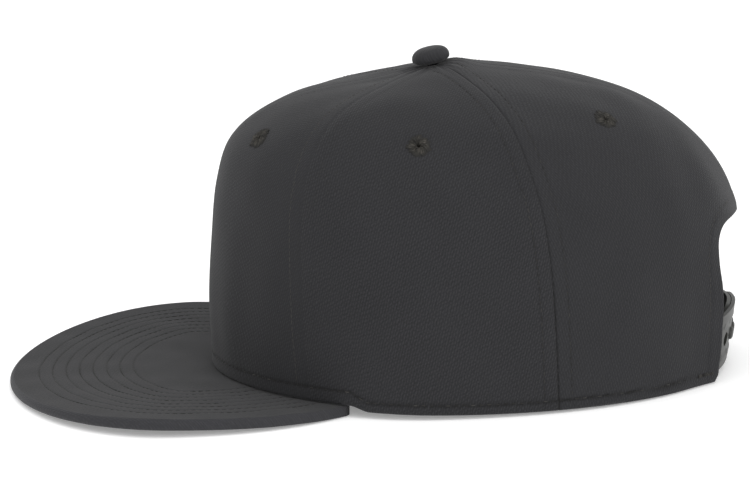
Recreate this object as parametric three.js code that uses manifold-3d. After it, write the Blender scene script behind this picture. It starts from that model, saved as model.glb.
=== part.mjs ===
// A six-panel snapback cap with a nearly flat visor, in millimetres.
// +Z is up, the visor points along -Y and the wearer's left side is +X.
// The cap is modelled standing on the rim of its crown, with the upright axis through the
// top button at x = 0, y = 0. The finished cap is then tipped and lifted until it rests on
// the tip of the visor and the back of the rim.

import * as THREE from "three";
import { mergeVertices } from "three/addons/utils/BufferGeometryUtils.js";
import Module from "manifold-3d";

const wasm = await Module();
wasm.setup();

// Crown, measured from the axis of the top button
const crownFrontReach = 86.5;
const crownBackReach = 117.5;
const crownHalfWidth = 81.5;
const crownHeight = 120;
const crownTopSlope = 0.12; // the top falls this much to the front for each mm ahead
const backRimLift = 1.6; // the rim rises to the strap at the back
const panelWall = 1.6;
const panelFlatness = 0.012; // the middle of a panel lies this share inside the round form
const panelFlatFrom = 0.2; // the level where that starts
const panelFlatFull = 0.7; // and the level where it is reached
const seamGap = 0.3;
const fitGap = 0.3;

// Back opening, an arch between the two back panels
const openingHalfWidth = 35;
const openingHeight = 62;
const openingSquareness = 5; // 2 is a half ellipse, more is squarer
const lipFlare = 2.6; // the edge of the opening rolls outwards
const lipFlareBand = 11;
const bindingWidth = 9;
const bindingWall = 1.2;
const bindingRimInset = 1; // its feet end this far above the rim

// Visor
const visorReach = 80; // ahead of the crown
const visorHalfWidth = 97.5;
const visorWidestAhead = 98; // where the visor is widest, ahead of the button's axis
const visorEndAhead = 33; // where the visor's back corners meet the rim
const visorBackLength = 92; // from the widest line back to where the outline would close
const visorTipPower = 1.92; // outline ahead of the widest line: 2 is a half ellipse
const visorBackPower = 2.2; // and behind it
const visorThickness = 3.5;
const visorEdgeRound = 0.9;
const visorSeatHeight = 1; // top of the visor above the rim's plane at the crown's front
const visorRise = 0.4; // degrees, from the sides of the crown to its front
const visorDroop = 3.9; // the tip hangs this far below the line of that rise
const visorSideLift = 0.6;
const visorInset = 4; // the board reaches this far in under the crown
const rimBlendStart = 1; // degrees past the visor's end where the rim starts to come down
const rimBlendEnd = 7; // and where it has come down

// Sweatband
const sweatbandHeight = 32;
const sweatbandWall = 1.2;
const sweatbandRimInset = 1;
const sweatbandEndMargin = 2; // its ends stop this far outside the opening
const sweatbandStepIn = 15; // over this length it moves in to pass over the strap's tabs

// Snap closure
const strapHeight = 22;
const strapWall = 1.5;
const strapRimInset = 1.2; // above the rim
const strapLean = 1.6; // the upper edge stands this much further out
const strapTab = 14; // hidden behind each side of the opening
const snapPitch = 9;
const snapCount = 6;
const snapsClosed = 4;
const holeRadius = 2.8;
const pegClearance = 0.35;
const pegDome = 1.3; // stands out of its hole by this much
const tipMargin = 0.6; // between a strap's tip and the next snap of the other strap
const tipRound = 8; // the tip narrows over this length
const tipNarrowing = 0.55; // at its end its width squared is this share less
const strapStepStart = 1.5; // past the outer strap's tip the inner one starts to move out
const strapStepEnd = 11; // and here it lies as far out as the outer one
const pegFootShare = 0.9; // a peg starts this far through its own strap
const pegNeck = 0.7; // the flat end of a peg's dome, as a share of its radius

// Top button
const buttonRadius = 7.4;
const buttonHeight = 6.2;
const buttonEdge = 1.4;
const buttonTilt = 9; // degrees, lower at the front
const buttonFullness = 0.7; // 1 is a half ellipse in section, less is fuller
const buttonSink = 0.5; // its tilted base sinks by this share of its tilt

// Eyelets
const eyeletRadius = 5;
const eyeletHoleRadius = 1.3;
const eyeletThickness = 1;

// How finely the surfaces are faceted
const panelColumns = 11;
const panelRows = 16;
const topLevel = 0.985;
const archRows = 12; // rows of a back panel that end on the arch
const upperRows = 9; // and those above it
const bindingColumns = 3; // columns of a back panel over the binding
const bindingMostShare = 0.45; // those columns take at most this share of a row
const archShoulder = 0.06; // the row that ends on top of the arch starts this much higher up
const visorColumns = 44;
const sweatbandColumns = 64;
const sweatbandRows = 2;
const strapColumns = 26;
const strapRows = 3;
const buttonSides = 20;
const buttonSteps = 6;
const eyeletSides = 14;
const eyeletCorners = 6;
const holeSides = 10;
const drillSides = 8;

// One row for each level of the crown, from the rim to the apex: its height, and how far it
// reaches to the front, to the back and to the sides, as shares of the crown's own sizes.
const crownLevels = [
  { height: 0.0, front: 1.0, back: 1.0, side: 1.0 },
  { height: 0.22, front: 1.015, back: 1.005, side: 0.99 },
  { height: 0.44, front: 1.0, back: 1.02, side: 0.96 },
  { height: 0.62, front: 0.975, back: 0.98, side: 0.9 },
  { height: 0.76, front: 0.91, back: 0.88, side: 0.79 },
  { height: 0.865, front: 0.745, back: 0.73, side: 0.665 },
  { height: 0.94, front: 0.5, back: 0.49, side: 0.48 },
  { height: 0.985, front: 0.2, back: 0.2, side: 0.245 },
  { height: 1.0, front: 0.0, back: 0.0, side: 0.0 },
];

// How square the crown's plan is in its front and back halves: 2 is an ellipse.
const planLevels = [
  { front: 1.8, back: 2.1 },
  { front: 2.0, back: 1.95 },
];

// Where the seams lie at the rim, half way up and at the apex, in degrees from the front.
const seamLevels = [
  { frontCentre: 0, frontSide: 54.5, sideBack: 122.5, backCentre: 180 },
  { frontCentre: 0, frontSide: 48, sideBack: 121, backCentre: 180 },
  { frontCentre: 0, frontSide: 44, sideBack: 121, backCentre: 180 },
];

// How much of the flare the opening's lip has at each share of the opening's height.
const flareLevels = [
  { flare: 1.1 },
  { flare: 1.6 },
  { flare: 1.8 },
  { flare: 0.3 },
  { flare: 0.3 },
];

// Where the eyelets sit: the turn from the front in degrees and the level up the crown.
const eyeletPlaces = [
  { name: "front", turn: 21, level: 0.54 },
  { name: "side", turn: 85, level: 0.575 },
  { name: "back", turn: 153, level: 0.625 },
];

const degrees = Math.PI / 180;
const cloth = { color: 0x3c3c3e, roughness: 0.92, metalness: 0 };
const darkCloth = { color: 0x343436, roughness: 0.95, metalness: 0 };
const thread = { color: 0x33322f, roughness: 0.8, metalness: 0 };
const plastic = { color: 0x4a4b47, roughness: 0.38, metalness: 0 };

function clamp01(value) {
  return Math.min(Math.max(value, 0), 1);
}

function smoothStep(low, high, value) {
  const t = clamp01((value - low) / (high - low));
  return t * t * (3 - 2 * t);
}

// A smooth curve through one column of a table whose rows are evenly spaced from 0 to 1.
function along(rows, column, share, levelEnd = false) {
  const last = rows.length - 1;
  const place = clamp01(share) * last;
  const i = Math.min(Math.floor(place), last - 1);
  const t = place - i;
  const value = (k) => rows[k][column];
  const slope = (k) => {
    if (k === 0) return value(1) - value(0);
    if (k === last) return levelEnd ? 0 : value(last) - value(last - 1);
    return (value(k + 1) - value(k - 1)) / 2;
  };
  const t2 = t * t;
  const t3 = t2 * t;
  return (
    (2 * t3 - 3 * t2 + 1) * value(i) +
    (t3 - 2 * t2 + t) * slope(i) +
    (3 * t2 - 2 * t3) * value(i + 1) +
    (t3 - t2) * slope(i + 1)
  );
}

// The seam's turn at a level. Seams 0 to 3 run from the front centre to the back centre on
// the left side, and negative ones mirror them on the right.
const seamNames = ["frontCentre", "frontSide", "sideBack", "backCentre"];
function seamTurn(seam, level) {
  const turn = along(seamLevels, seamNames[Math.abs(seam)], level) * degrees;
  return seam < 0 ? -turn : turn;
}

// The visor's top surface: a plane that rises to the front, droops ahead of the crown and
// lifts a little at its sides.
function visorTop(x, ahead) {
  const beyond = ahead - crownFrontReach;
  const rise = Math.tan(visorRise * degrees) * beyond;
  const droop = visorDroop * Math.pow(Math.max(beyond, 0) / visorReach, 2);
  const lift = visorSideLift * Math.pow(x / visorHalfWidth, 2);
  return visorSeatHeight + rise - droop + lift;
}

// A point of the left half of the arch, from its foot (0) to its top (1).
function archPoint(share) {
  const angle = (Math.PI / 2) * smoothStep(0, 1, share);
  const x = openingHalfWidth * Math.pow(Math.cos(angle), 2 / openingSquareness);
  const z = openingHeight * Math.pow(Math.sin(angle), 2 / openingSquareness);
  return { x, z };
}

// How far outside the arch a point of the back wall lies, roughly, in mm: negative inside it.
function beyondArch(x, z) {
  const share = Math.pow(
    Math.pow(Math.abs(x) / openingHalfWidth, openingSquareness) +
      Math.pow(Math.max(z, 0) / openingHeight, openingSquareness),
    1 / openingSquareness,
  );
  return (share - 1) * Math.min(openingHalfWidth, openingHeight);
}

// How far the opening's lip is rolled outwards at a point of the back wall.
function flareAt(x, z) {
  const outside = clamp01(beyondArch(x, z) / lipFlareBand);
  const fade = (1 - outside) * (1 - outside);
  return lipFlare * fade * along(flareLevels, "flare", z / openingHeight);
}

// The level of the rim itself at a turn: over the visor it follows the visor's top.
function rimHeight(turn, radius) {
  const x = radius * Math.sin(turn);
  const ahead = radius * Math.cos(turn);
  const backLift = ahead < 0 ? backRimLift * Math.pow(Math.cos(turn), 2) : 0;
  const visorEnd = Math.atan2(visorEndWidth(), visorEndAhead);
  const blendStart = visorEnd + rimBlendStart * degrees;
  const blendEnd = visorEnd + rimBlendEnd * degrees;
  const clear = smoothStep(blendStart, blendEnd, Math.abs(turn));
  return (1 - clear) * (visorTop(x, ahead) + fitGap) + clear * backLift;
}

// Half the width of the crown's rim where the visor ends.
function visorEndWidth() {
  const share = Math.pow(visorEndAhead / crownFrontReach, planLevels[0].front);
  return crownHalfWidth * Math.pow(1 - share, 1 / planLevels[0].front);
}

// The radius of the crown's plan at a turn and level, with panels a little flat between seams.
function crownRadius(turn, level) {
  const forward = Math.cos(turn) > 0;
  const column = forward ? "front" : "back";
  const reach = (forward ? crownFrontReach : crownBackReach) * along(crownLevels, column, level);
  const width = crownHalfWidth * along(crownLevels, "side", level);
  const power = along(planLevels, column, level);
  const lengthwise = Math.pow(Math.abs(Math.cos(turn)) / Math.max(reach, 1e-6), power);
  const across = Math.pow(Math.abs(Math.sin(turn)) / Math.max(width, 1e-6), power);
  return Math.pow(lengthwise + across, -1 / power) * (1 - panelFlatness * betweenSeams(turn, level));
}

// 0 on a seam and 1 in the middle of a panel, growing from the rim to the shoulder.
function betweenSeams(turn, level) {
  const side = Math.abs(turn);
  let panel = 0;
  while (panel < 2 && side > seamTurn(panel + 1, level)) panel += 1;
  const start = seamTurn(panel, level);
  const end = seamTurn(panel + 1, level);
  const share = clamp01((side - start) / (end - start));
  return 4 * share * (1 - share) * smoothStep(panelFlatFrom, panelFlatFull, level);
}

// A point of the crown's outer surface. turn runs from the front (0) to the wearer's left.
function crownSkin(turn, level) {
  const radius = crownRadius(turn, level);
  const x = radius * Math.sin(turn);
  const ahead = radius * Math.cos(turn);
  const rim = rimHeight(turn, crownRadius(turn, 0));
  const rimFade = Math.pow(1 - level, 2);
  const height = crownHeight * along(crownLevels, "height", level, true);
  const topFall = crownTopSlope * ahead * Math.pow(clamp01(2 * level - 1), 2);
  const z = height + rim * rimFade - topFall;
  const flare = ahead < 0 ? flareAt(x, z) : 0;
  return new THREE.Vector3(x, -ahead - flare * Math.cos(turn), z);
}

// The outward normal of the crown's outer surface.
function crownNormal(turn, level) {
  const step = 1e-3;
  const low = Math.min(Math.max(level, step), 1 - 2 * step);
  const aroundStep = crownSkin(turn + step, low).sub(crownSkin(turn - step, low));
  const upStep = crownSkin(turn, low + step).sub(crownSkin(turn, low - step));
  return aroundStep.cross(upStep).normalize();
}

// A point at a depth below the crown's outer surface.
function crownPoint(turn, level, depth) {
  return crownSkin(turn, level).addScaledVector(crownNormal(turn, level), -depth);
}

// The level at which the crown reaches a height above the rim's plane at a turn.
function levelAt(turn, z) {
  let low = 0;
  let high = 0.9;
  for (let i = 0; i < 30; i += 1) {
    const middle = (low + high) / 2;
    if (crownSkin(turn, middle).z < z) low = middle;
    else high = middle;
  }
  return (low + high) / 2;
}

// The turn at which the crown's back wall stands a distance to the side, at a height.
function turnAt(x, z) {
  let low = 100 * degrees;
  let high = 180 * degrees;
  for (let i = 0; i < 30; i += 1) {
    const middle = (low + high) / 2;
    if (crownSkin(middle, levelAt(middle, z)).x > Math.abs(x)) low = middle;
    else high = middle;
  }
  const turn = (low + high) / 2;
  return x < 0 ? -turn : turn;
}

// A closed wall between an outer and an inner surface, both functions of the same grid.
function wallBetween(columns, rows, outer, inner) {
  const points = [];
  const faces = [];
  const at = (side, i, j) => side * (columns + 1) * (rows + 1) + j * (columns + 1) + i;
  const quad = (a, b, c, d) => faces.push(a, b, c, a, c, d);
  for (const surface of [outer, inner]) {
    for (let j = 0; j <= rows; j += 1) {
      for (let i = 0; i <= columns; i += 1) {
        points.push(...surface(i / columns, j / rows).toArray());
      }
    }
  }
  for (let j = 0; j < rows; j += 1) {
    for (let i = 0; i < columns; i += 1) {
      quad(at(0, i, j), at(0, i + 1, j), at(0, i + 1, j + 1), at(0, i, j + 1));
      quad(at(1, i, j), at(1, i, j + 1), at(1, i + 1, j + 1), at(1, i + 1, j));
    }
  }
  for (let i = 0; i < columns; i += 1) {
    quad(at(0, i, 0), at(1, i, 0), at(1, i + 1, 0), at(0, i + 1, 0));
    quad(at(0, i, rows), at(0, i + 1, rows), at(1, i + 1, rows), at(1, i, rows));
  }
  for (let j = 0; j < rows; j += 1) {
    quad(at(0, 0, j), at(0, 0, j + 1), at(1, 0, j + 1), at(1, 0, j));
    quad(at(0, columns, j), at(1, columns, j), at(1, columns, j + 1), at(0, columns, j + 1));
  }
  const geometry = new THREE.BufferGeometry();
  geometry.setAttribute("position", new THREE.Float32BufferAttribute(points, 3));
  geometry.setIndex(faces);
  return geometry;
}

// A closed geometry as a manifold-3d solid that faces out.
function solidOf(geometry) {
  const bare = geometry.clone();
  bare.deleteAttribute("normal");
  bare.deleteAttribute("uv");
  const merged = mergeVertices(bare, 1e-4);
  const vertProperties = merged.attributes.position.array;
  const triVerts = new Uint32Array(merged.index.array);
  const solid = new wasm.Manifold(new wasm.Mesh({ numProp: 3, vertProperties, triVerts }));
  if (solid.volume() > 0) return solid;
  for (let i = 0; i < triVerts.length; i += 3) {
    [triVerts[i + 1], triVerts[i + 2]] = [triVerts[i + 2], triVerts[i + 1]];
  }
  return new wasm.Manifold(new wasm.Mesh({ numProp: 3, vertProperties, triVerts }));
}

// A manifold-3d solid as a geometry.
function geometryOf(solid) {
  const mesh = solid.getMesh();
  const geometry = new THREE.BufferGeometry();
  geometry.setAttribute("position", new THREE.BufferAttribute(mesh.vertProperties, 3));
  geometry.setIndex(new THREE.BufferAttribute(mesh.triVerts, 1));
  geometry.computeVertexNormals();
  return geometry;
}

// A cutter or a peg: a lathe form standing on a point of the crown along its normal.
function standOn(geometry, point, normal) {
  const turned = geometry.clone();
  turned.applyQuaternion(new THREE.Quaternion().setFromUnitVectors(new THREE.Vector3(0, 1, 0), normal));
  turned.translate(point.x, point.y, point.z);
  return turned;
}

const cap = new THREE.Group();

function addPiece(name, solid, finish) {
  const piece = new THREE.Mesh(geometryOf(solid), new THREE.MeshStandardMaterial(finish));
  piece.name = name;
  cap.add(piece);
  return piece;
}

// The turn and level of a node of a whole panel between two seams.
function wholePlace(first, second, i, j) {
  const level = (j / panelRows) * topLevel;
  const start = seamTurn(first, level);
  const end = seamTurn(second, level);
  const half = seamGap / 2 / crownRadius((start + end) / 2, level);
  return { turn: start + half + (i / panelColumns) * (end - start - 2 * half), level };
}

// The turn and level of a node of a back panel. Its rows run from the side seam to the arch
// and, above the arch, to the centre seam. Its last columns are as wide as the binding.
function backPlace(i, j) {
  const archTop = levelAt(Math.PI, openingHeight);
  const seamTop = archTop + archShoulder;
  const onArch = Math.min(j / archRows, 1);
  const above = Math.max(j - archRows, 0) / upperRows;
  const foot = archPoint(onArch);
  const endTurn = above > 0 || onArch === 1 ? Math.PI : turnAt(foot.x, foot.z);
  const endLevel = above > 0 ? archTop + above * (topLevel - archTop) : levelAt(endTurn, foot.z);
  const startLevel = onArch * seamTop + above * (topLevel - seamTop);
  const startTurn = seamTurn(2, startLevel);
  const half = seamGap / 2 / crownRadius(Math.PI, endLevel);
  const start = { turn: startTurn + half, level: startLevel };
  const end = { turn: endTurn - (onArch === 1 ? half : 0), level: endLevel };
  const span = crownSkin(start.turn, start.level).distanceTo(crownSkin(end.turn, end.level));
  const bound = Math.min(bindingWidth / span, bindingMostShare);
  const free = panelColumns - bindingColumns;
  const fromEnd = bound * ((panelColumns - i) / bindingColumns);
  const share = i <= free ? (i / free) * (1 - bound) : 1 - fromEnd;
  return {
    turn: start.turn + share * (end.turn - start.turn),
    level: start.level + share * (end.level - start.level),
  };
}

// A panel of the crown; the right half of the crown mirrors the left.
function panelSolid({ rows, placeAt }, sign) {
  const surface = (depth) => (u, v) => {
    const { turn, level } = placeAt(Math.round(u * panelColumns), Math.round(v * rows));
    return crownPoint(sign * turn, level, depth);
  };
  return solidOf(wallBetween(panelColumns, rows, surface(0), surface(panelWall)));
}

const drillLength = 4 * panelWall;
const eyeletDrill = new THREE.CylinderGeometry(
  eyeletHoleRadius,
  eyeletHoleRadius,
  drillLength,
  drillSides,
);
const panels = [
  { name: "front", rows: panelRows, placeAt: (i, j) => wholePlace(0, 1, i, j) },
  { name: "side", rows: panelRows, placeAt: (i, j) => wholePlace(1, 2, i, j) },
  { name: "back", rows: archRows + upperRows, placeAt: backPlace },
];
for (const panel of panels) {
  const spot = eyeletPlaces.find((place) => place.name === panel.name);
  for (const side of ["left", "right"]) {
    const sign = side === "left" ? 1 : -1;
    const turn = sign * spot.turn * degrees;
    const normal = crownNormal(turn, spot.level);
    const drill = standOn(eyeletDrill, crownPoint(turn, spot.level, panelWall / 2), normal);
    addPiece(`${panel.name}_panel_${side}`, panelSolid(panel, sign).subtract(solidOf(drill)), cloth);
    addPiece(`eyelet_${panel.name}_${side}`, eyeletRing(turn, spot.level, normal), thread);
  }
}

// An embroidered eyelet: a low ring of thread round its hole, lying on the panel.
function eyeletRing(turn, level, normal) {
  const profile = [];
  const middle = (eyeletRadius + eyeletHoleRadius) / 2;
  const halfWidth = (eyeletRadius - eyeletHoleRadius) / 2;
  for (let i = 0; i <= eyeletCorners; i += 1) {
    const angle = (2 * Math.PI * i) / eyeletCorners;
    const radius = middle + halfWidth * Math.cos(angle);
    const height = (eyeletThickness / 2) * Math.sin(angle);
    profile.push(new THREE.Vector2(radius, height));
  }
  const ring = new THREE.LatheGeometry(profile, eyeletSides);
  const seat = crownPoint(turn, level, -fitGap - eyeletThickness / 2);
  return solidOf(standOn(ring, seat, normal));
}

// Top button: a covered dome that sits on the panels' tips.
{
  const apex = crownSkin(0, 1);
  const under = buttonRadius - buttonEdge;
  const profile = [new THREE.Vector2(0, 0), new THREE.Vector2(under, 0)];
  for (let i = 0; i <= buttonSteps; i += 1) {
    const angle = (Math.PI / 2) * (i / buttonSteps);
    const radius = buttonRadius * Math.pow(Math.cos(angle), buttonFullness);
    const height = buttonEdge + (buttonHeight - buttonEdge) * Math.sin(angle);
    profile.push(new THREE.Vector2(i === buttonSteps ? 0 : radius, height));
  }
  const dome = new THREE.LatheGeometry(profile, buttonSides);
  dome.rotateX(Math.PI / 2);
  dome.rotateX(buttonTilt * degrees);
  const lift = fitGap + under * Math.sin(buttonTilt * degrees) * buttonSink;
  dome.translate(0, 0, apex.z + lift);
  addPiece("top_button", solidOf(dome), cloth);
}

// Visor: a thin board between its top and its underside, with a rounded edge.
{
  const endTurn = Math.atan2(visorEndWidth(), visorEndAhead);
  const endShare = (visorWidestAhead - visorEndAhead) / visorBackLength;
  const endAngle = Math.PI / 2 + Math.asin(Math.pow(endShare, visorBackPower / 2));
  const outline = (u) => {
    const angle = (2 * u - 1) * endAngle;
    const forward = Math.cos(angle) > 0;
    const power = forward ? visorTipPower : visorBackPower;
    const tipLength = crownFrontReach + visorReach - visorWidestAhead;
    const length = forward ? tipLength : visorBackLength;
    const c = Math.cos(angle);
    const s = Math.sin(angle);
    return new THREE.Vector2(
      visorHalfWidth * Math.sign(s) * Math.pow(Math.abs(s), 2 / power),
      visorWidestAhead + length * Math.sign(c) * Math.pow(Math.abs(c), 2 / power),
    );
  };
  const seat = (u) => {
    const turn = (2 * u - 1) * endTurn;
    const radius = crownRadius(turn, 0) - visorInset;
    return new THREE.Vector2(radius * Math.sin(turn), radius * Math.cos(turn));
  };
  // Shares of the way from the seat to the edge, and how far the rounding takes the board in
  const steps = [0, 0.35, 0.7, 1, 1];
  const board = (side) => (u, v) => {
    const row = Math.round(v * (steps.length - 1));
    const inner = seat(u);
    const outer = outline(u);
    const span = outer.distanceTo(inner);
    const inset = row === steps.length - 2 ? visorEdgeRound / span : 0;
    const place = inner.lerp(outer, steps[row] - inset);
    const rounding = row === steps.length - 1 ? visorEdgeRound : 0;
    const top = visorTop(place.x, place.y);
    const z = side === 0 ? top - rounding : top - visorThickness + rounding;
    return new THREE.Vector3(place.x, -place.y, z);
  };
  const body = wallBetween(visorColumns, steps.length - 1, board(0), board(1));
  addPiece("visor", solidOf(body), cloth);
}

// Sweatband: inside the rim, from one side of the opening round the front to the other. Near
// its ends it lies further in, over the binding and the tabs of the strap.
{
  const plain = panelWall + fitGap;
  const overStrap = panelWall + bindingWall + 2 * strapWall + 4 * fitGap;
  const end = turnAt(openingHalfWidth + sweatbandEndMargin, sweatbandHeight / 2);
  const tabsEnd = openingHalfWidth + strapTab + fitGap;
  const place = (u, v, extra) => {
    const turn = (2 * u - 1) * end;
    const out = crownSkin(turn, levelAt(turn, sweatbandHeight / 2));
    const aside = smoothStep(tabsEnd + sweatbandStepIn, tabsEnd, Math.abs(out.x));
    const depth = plain + (overStrap - plain) * (out.y > 0 ? aside : 0) + extra;
    const bottom = rimHeight(turn, crownRadius(turn, 0)) + sweatbandRimInset;
    return crownPoint(turn, levelAt(turn, bottom + v * sweatbandHeight), depth);
  };
  const outer = (u, v) => place(u, v, 0);
  const inner = (u, v) => place(u, v, sweatbandWall);
  const band = wallBetween(sweatbandColumns, sweatbandRows, outer, inner);
  addPiece("sweatband", solidOf(band), darkCloth);
}

// Opening binding: a tape inside the arch, from one foot of the opening over to the other. It
// lies on the last columns of both back panels.
{
  const near = panelWall + fitGap;
  const tape = (depth) => (u, v) => {
    const step = Math.round(u * 2 * archRows);
    const sign = step <= archRows ? 1 : -1;
    const row = sign > 0 ? step : 2 * archRows - step;
    const { turn, level } = backPlace(panelColumns - bindingColumns * v, row);
    const atSeam = row === archRows && v === 0;
    const lifted = Math.max(level, levelAt(turn, backRimLift + bindingRimInset));
    return crownPoint(atSeam ? Math.PI : sign * turn, lifted, depth);
  };
  const band = wallBetween(2 * archRows, bindingColumns, tape(near), tape(near + bindingWall));
  addPiece("opening_binding", solidOf(band), darkCloth);
}

// Snap closure: the strap from the left lies outside, and its holes take the other's pegs.
{
  const outerDepth = panelWall + bindingWall + 2 * fitGap;
  const innerDepth = outerDepth + strapWall + fitGap;
  const low = backRimLift + strapRimInset;
  const tabEnd = openingHalfWidth + strapTab;
  const overlap = ((snapsClosed - 1) / 2) * snapPitch;
  const pegRadius = holeRadius - pegClearance;
  const tip = overlap + snapPitch - pegRadius - tipMargin;
  // A point of the strap's run: x across the back, z up, depth below the crown's skin
  const onBack = (x, z, depth) => {
    const turn = turnAt(x, z);
    const fromFoot = 1 - clamp01(Math.abs(x) / openingHalfWidth);
    const lean = strapLean * fromFoot * ((z - low) / strapHeight - 1 / 2);
    return crownPoint(turn, levelAt(turn, z), depth - lean);
  };
  const run = (side, depthAt) => {
    const surface = (extra) => (u, v) => {
      const x = side * (tabEnd + u * (-tip - tabEnd));
      const toTip = tip + side * x;
      const share = clamp01(1 - toTip / tipRound);
      const half = (strapHeight / 2) * Math.sqrt(1 - tipNarrowing * share * share);
      const z = low + strapHeight / 2 + (2 * v - 1) * half;
      return onBack(x, z, depthAt(side * x) + extra);
    };
    return solidOf(wallBetween(strapColumns, strapRows, surface(0), surface(strapWall)));
  };
  const mid = low + strapHeight / 2;
  const snaps = (side) =>
    Array.from({ length: snapCount }, (_, i) => side * (snapPitch * i - overlap));
  const stepStart = tip + strapStepStart;
  const stepEnd = tip + strapStepEnd;
  const innerAt = (x) =>
    outerDepth + (innerDepth - outerDepth) * smoothStep(stepEnd, stepStart, x);

  let holes = run(1, () => outerDepth);
  const holeLength = 4 * strapWall;
  const drill = new THREE.CylinderGeometry(holeRadius, holeRadius, holeLength, holeSides);
  for (const x of snaps(1)) {
    const at = onBack(x, mid, outerDepth + strapWall / 2);
    const turn = turnAt(x, mid);
    const normal = crownNormal(turn, levelAt(turn, mid));
    holes = holes.subtract(solidOf(standOn(drill, at, normal)));
  }
  addPiece("strap_with_holes", holes, plastic);

  let pegs = run(-1, innerAt);
  const pegLength = 2 * strapWall + fitGap + pegDome;
  const pegProfile = [
    new THREE.Vector2(0, 0),
    new THREE.Vector2(pegRadius, 0),
    new THREE.Vector2(pegRadius, pegLength - pegDome / 2),
    new THREE.Vector2(pegRadius * pegNeck, pegLength),
    new THREE.Vector2(0, pegLength),
  ];
  const peg = new THREE.LatheGeometry(pegProfile, holeSides);
  for (const x of snaps(-1)) {
    const turn = turnAt(x, mid);
    const foot = onBack(x, mid, innerAt(-x) + strapWall * pegFootShare);
    const normal = crownNormal(turn, levelAt(turn, mid));
    pegs = pegs.add(solidOf(standOn(peg, foot, normal)));
  }
  addPiece("strap_with_pegs", pegs, plastic);
}

// The cap rests on the tip of the visor and on the back of the rim.
const corners = cap.children.map((piece) => piece.geometry.attributes.position);
function lowest(from, keep) {
  let best = null;
  for (const points of from) {
    for (let i = 0; i < points.count; i += 1) {
      const point = new THREE.Vector3().fromBufferAttribute(points, i);
      if (keep(point) && (!best || point.z < best.z)) best = point;
    }
  }
  return best;
}
const restingPasses = 4;
let tip = 0;
for (let pass = 0; pass < restingPasses; pass += 1) {
  const turn = new THREE.Matrix4().makeRotationX(tip);
  const turned = corners.map((points) => points.clone().applyMatrix4(turn));
  const front = lowest(turned, (point) => point.y < -crownFrontReach);
  const back = lowest(turned, (point) => point.y > crownFrontReach);
  tip -= Math.atan2(back.z - front.z, back.y - front.y);
}
cap.rotation.x = tip;
cap.updateMatrixWorld(true);
const box = new THREE.Box3().setFromObject(cap, true);
cap.position.set(0, -(box.min.y + box.max.y) / 2, -box.min.z);

const snapback = new THREE.Group();
snapback.add(cap);

export default snapback;
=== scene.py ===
"""A charcoal snapback cap: a six-panel crown, a stitched visor and a snap closure.

Shapes are worked out in millimetres in the crown's own frame: the rim's plane is z = 0, +z is
up, the visor points along -y and the wearer's left side is +x. Resting turns them onto the
floor and into metres.
"""

import logging
import math
from dataclasses import dataclass, field
from enum import Enum
import bpy
import numpy as np
from mathutils import Matrix, Vector


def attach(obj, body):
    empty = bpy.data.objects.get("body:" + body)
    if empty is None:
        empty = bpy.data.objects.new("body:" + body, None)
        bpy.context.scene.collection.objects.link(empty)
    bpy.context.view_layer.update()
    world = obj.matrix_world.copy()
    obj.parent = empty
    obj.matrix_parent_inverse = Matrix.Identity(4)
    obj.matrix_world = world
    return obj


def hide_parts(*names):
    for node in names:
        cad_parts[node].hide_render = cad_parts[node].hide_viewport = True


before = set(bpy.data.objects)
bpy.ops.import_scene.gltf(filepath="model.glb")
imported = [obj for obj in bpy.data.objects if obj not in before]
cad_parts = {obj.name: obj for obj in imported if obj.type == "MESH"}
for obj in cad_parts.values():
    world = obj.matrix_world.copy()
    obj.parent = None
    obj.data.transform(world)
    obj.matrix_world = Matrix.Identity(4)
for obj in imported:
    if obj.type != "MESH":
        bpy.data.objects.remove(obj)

log = logging.getLogger("snapback_cap")
Array = np.ndarray
MM = 0.001
TINY = 1e-6
SHARP_DEGREES = 50  # edges that turn more than this aren't smoothed over
WAVE_CYCLE = math.pi / 10  # the Wave texture's scale for one band in each unit


class Slot(Enum):
    """The record's material slots."""

    CROWN = "crown_twill"
    VISOR = "visor_twill"
    BUTTON = "button_twill"
    EMBROIDERY = "embroidery_thread"
    SWEATBAND = "sweatband_twill"
    TAPE = "binding_tape"
    STRAP = "strap_plastic"


class Side(Enum):
    """The wearer's left, +x, and right, -x."""

    LEFT = 1
    RIGHT = -1


def smooth_step(low: float, high: float, value: Array) -> Array:
    """Goes smoothly from 0 at low to 1 at high: 3t^2 - 2t^3.

    Args:
        low: Where it starts.
        high: Where it ends, which may be below low.
        value: The places to work it out at.

    Returns:
        The share at each place.
    """
    t = np.clip((np.asarray(value, float) - low) / (high - low), 0, 1)
    return t * t * (3 - 2 * t)


def bell(value: Array, width: float) -> Array:
    """A smooth bump, exp(-(value / width)^2)."""
    return np.exp(-((value / width) ** 2))


def between(start: Array, end: Array, share: Array) -> Array:
    """The place a share of the way from a start to an end."""
    return start + share * (end - start)


def along(values: tuple, share: Array, level_end: bool = False) -> Array:
    """A smooth curve through evenly spaced values, cubic between each two of them.

    Args:
        values: The values from share 0 to share 1.
        share: The places to work it out at.
        level_end: Whether the curve runs level into its last value.

    Returns:
        The value at each place.
    """
    table = np.asarray(values, float)
    slopes = np.gradient(table)
    if level_end:
        slopes[-1] = 0
    last = len(table) - 1
    place = np.clip(share, 0, 1) * last
    i = np.minimum(place.astype(int), last - 1)
    t = place - i
    return (
        (2 * t**3 - 3 * t**2 + 1) * table[i]
        + (t**3 - 2 * t**2 + t) * slopes[i]
        + (3 * t**2 - 2 * t**3) * table[i + 1]
        + (t**3 - t**2) * slopes[i + 1]
    )


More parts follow.
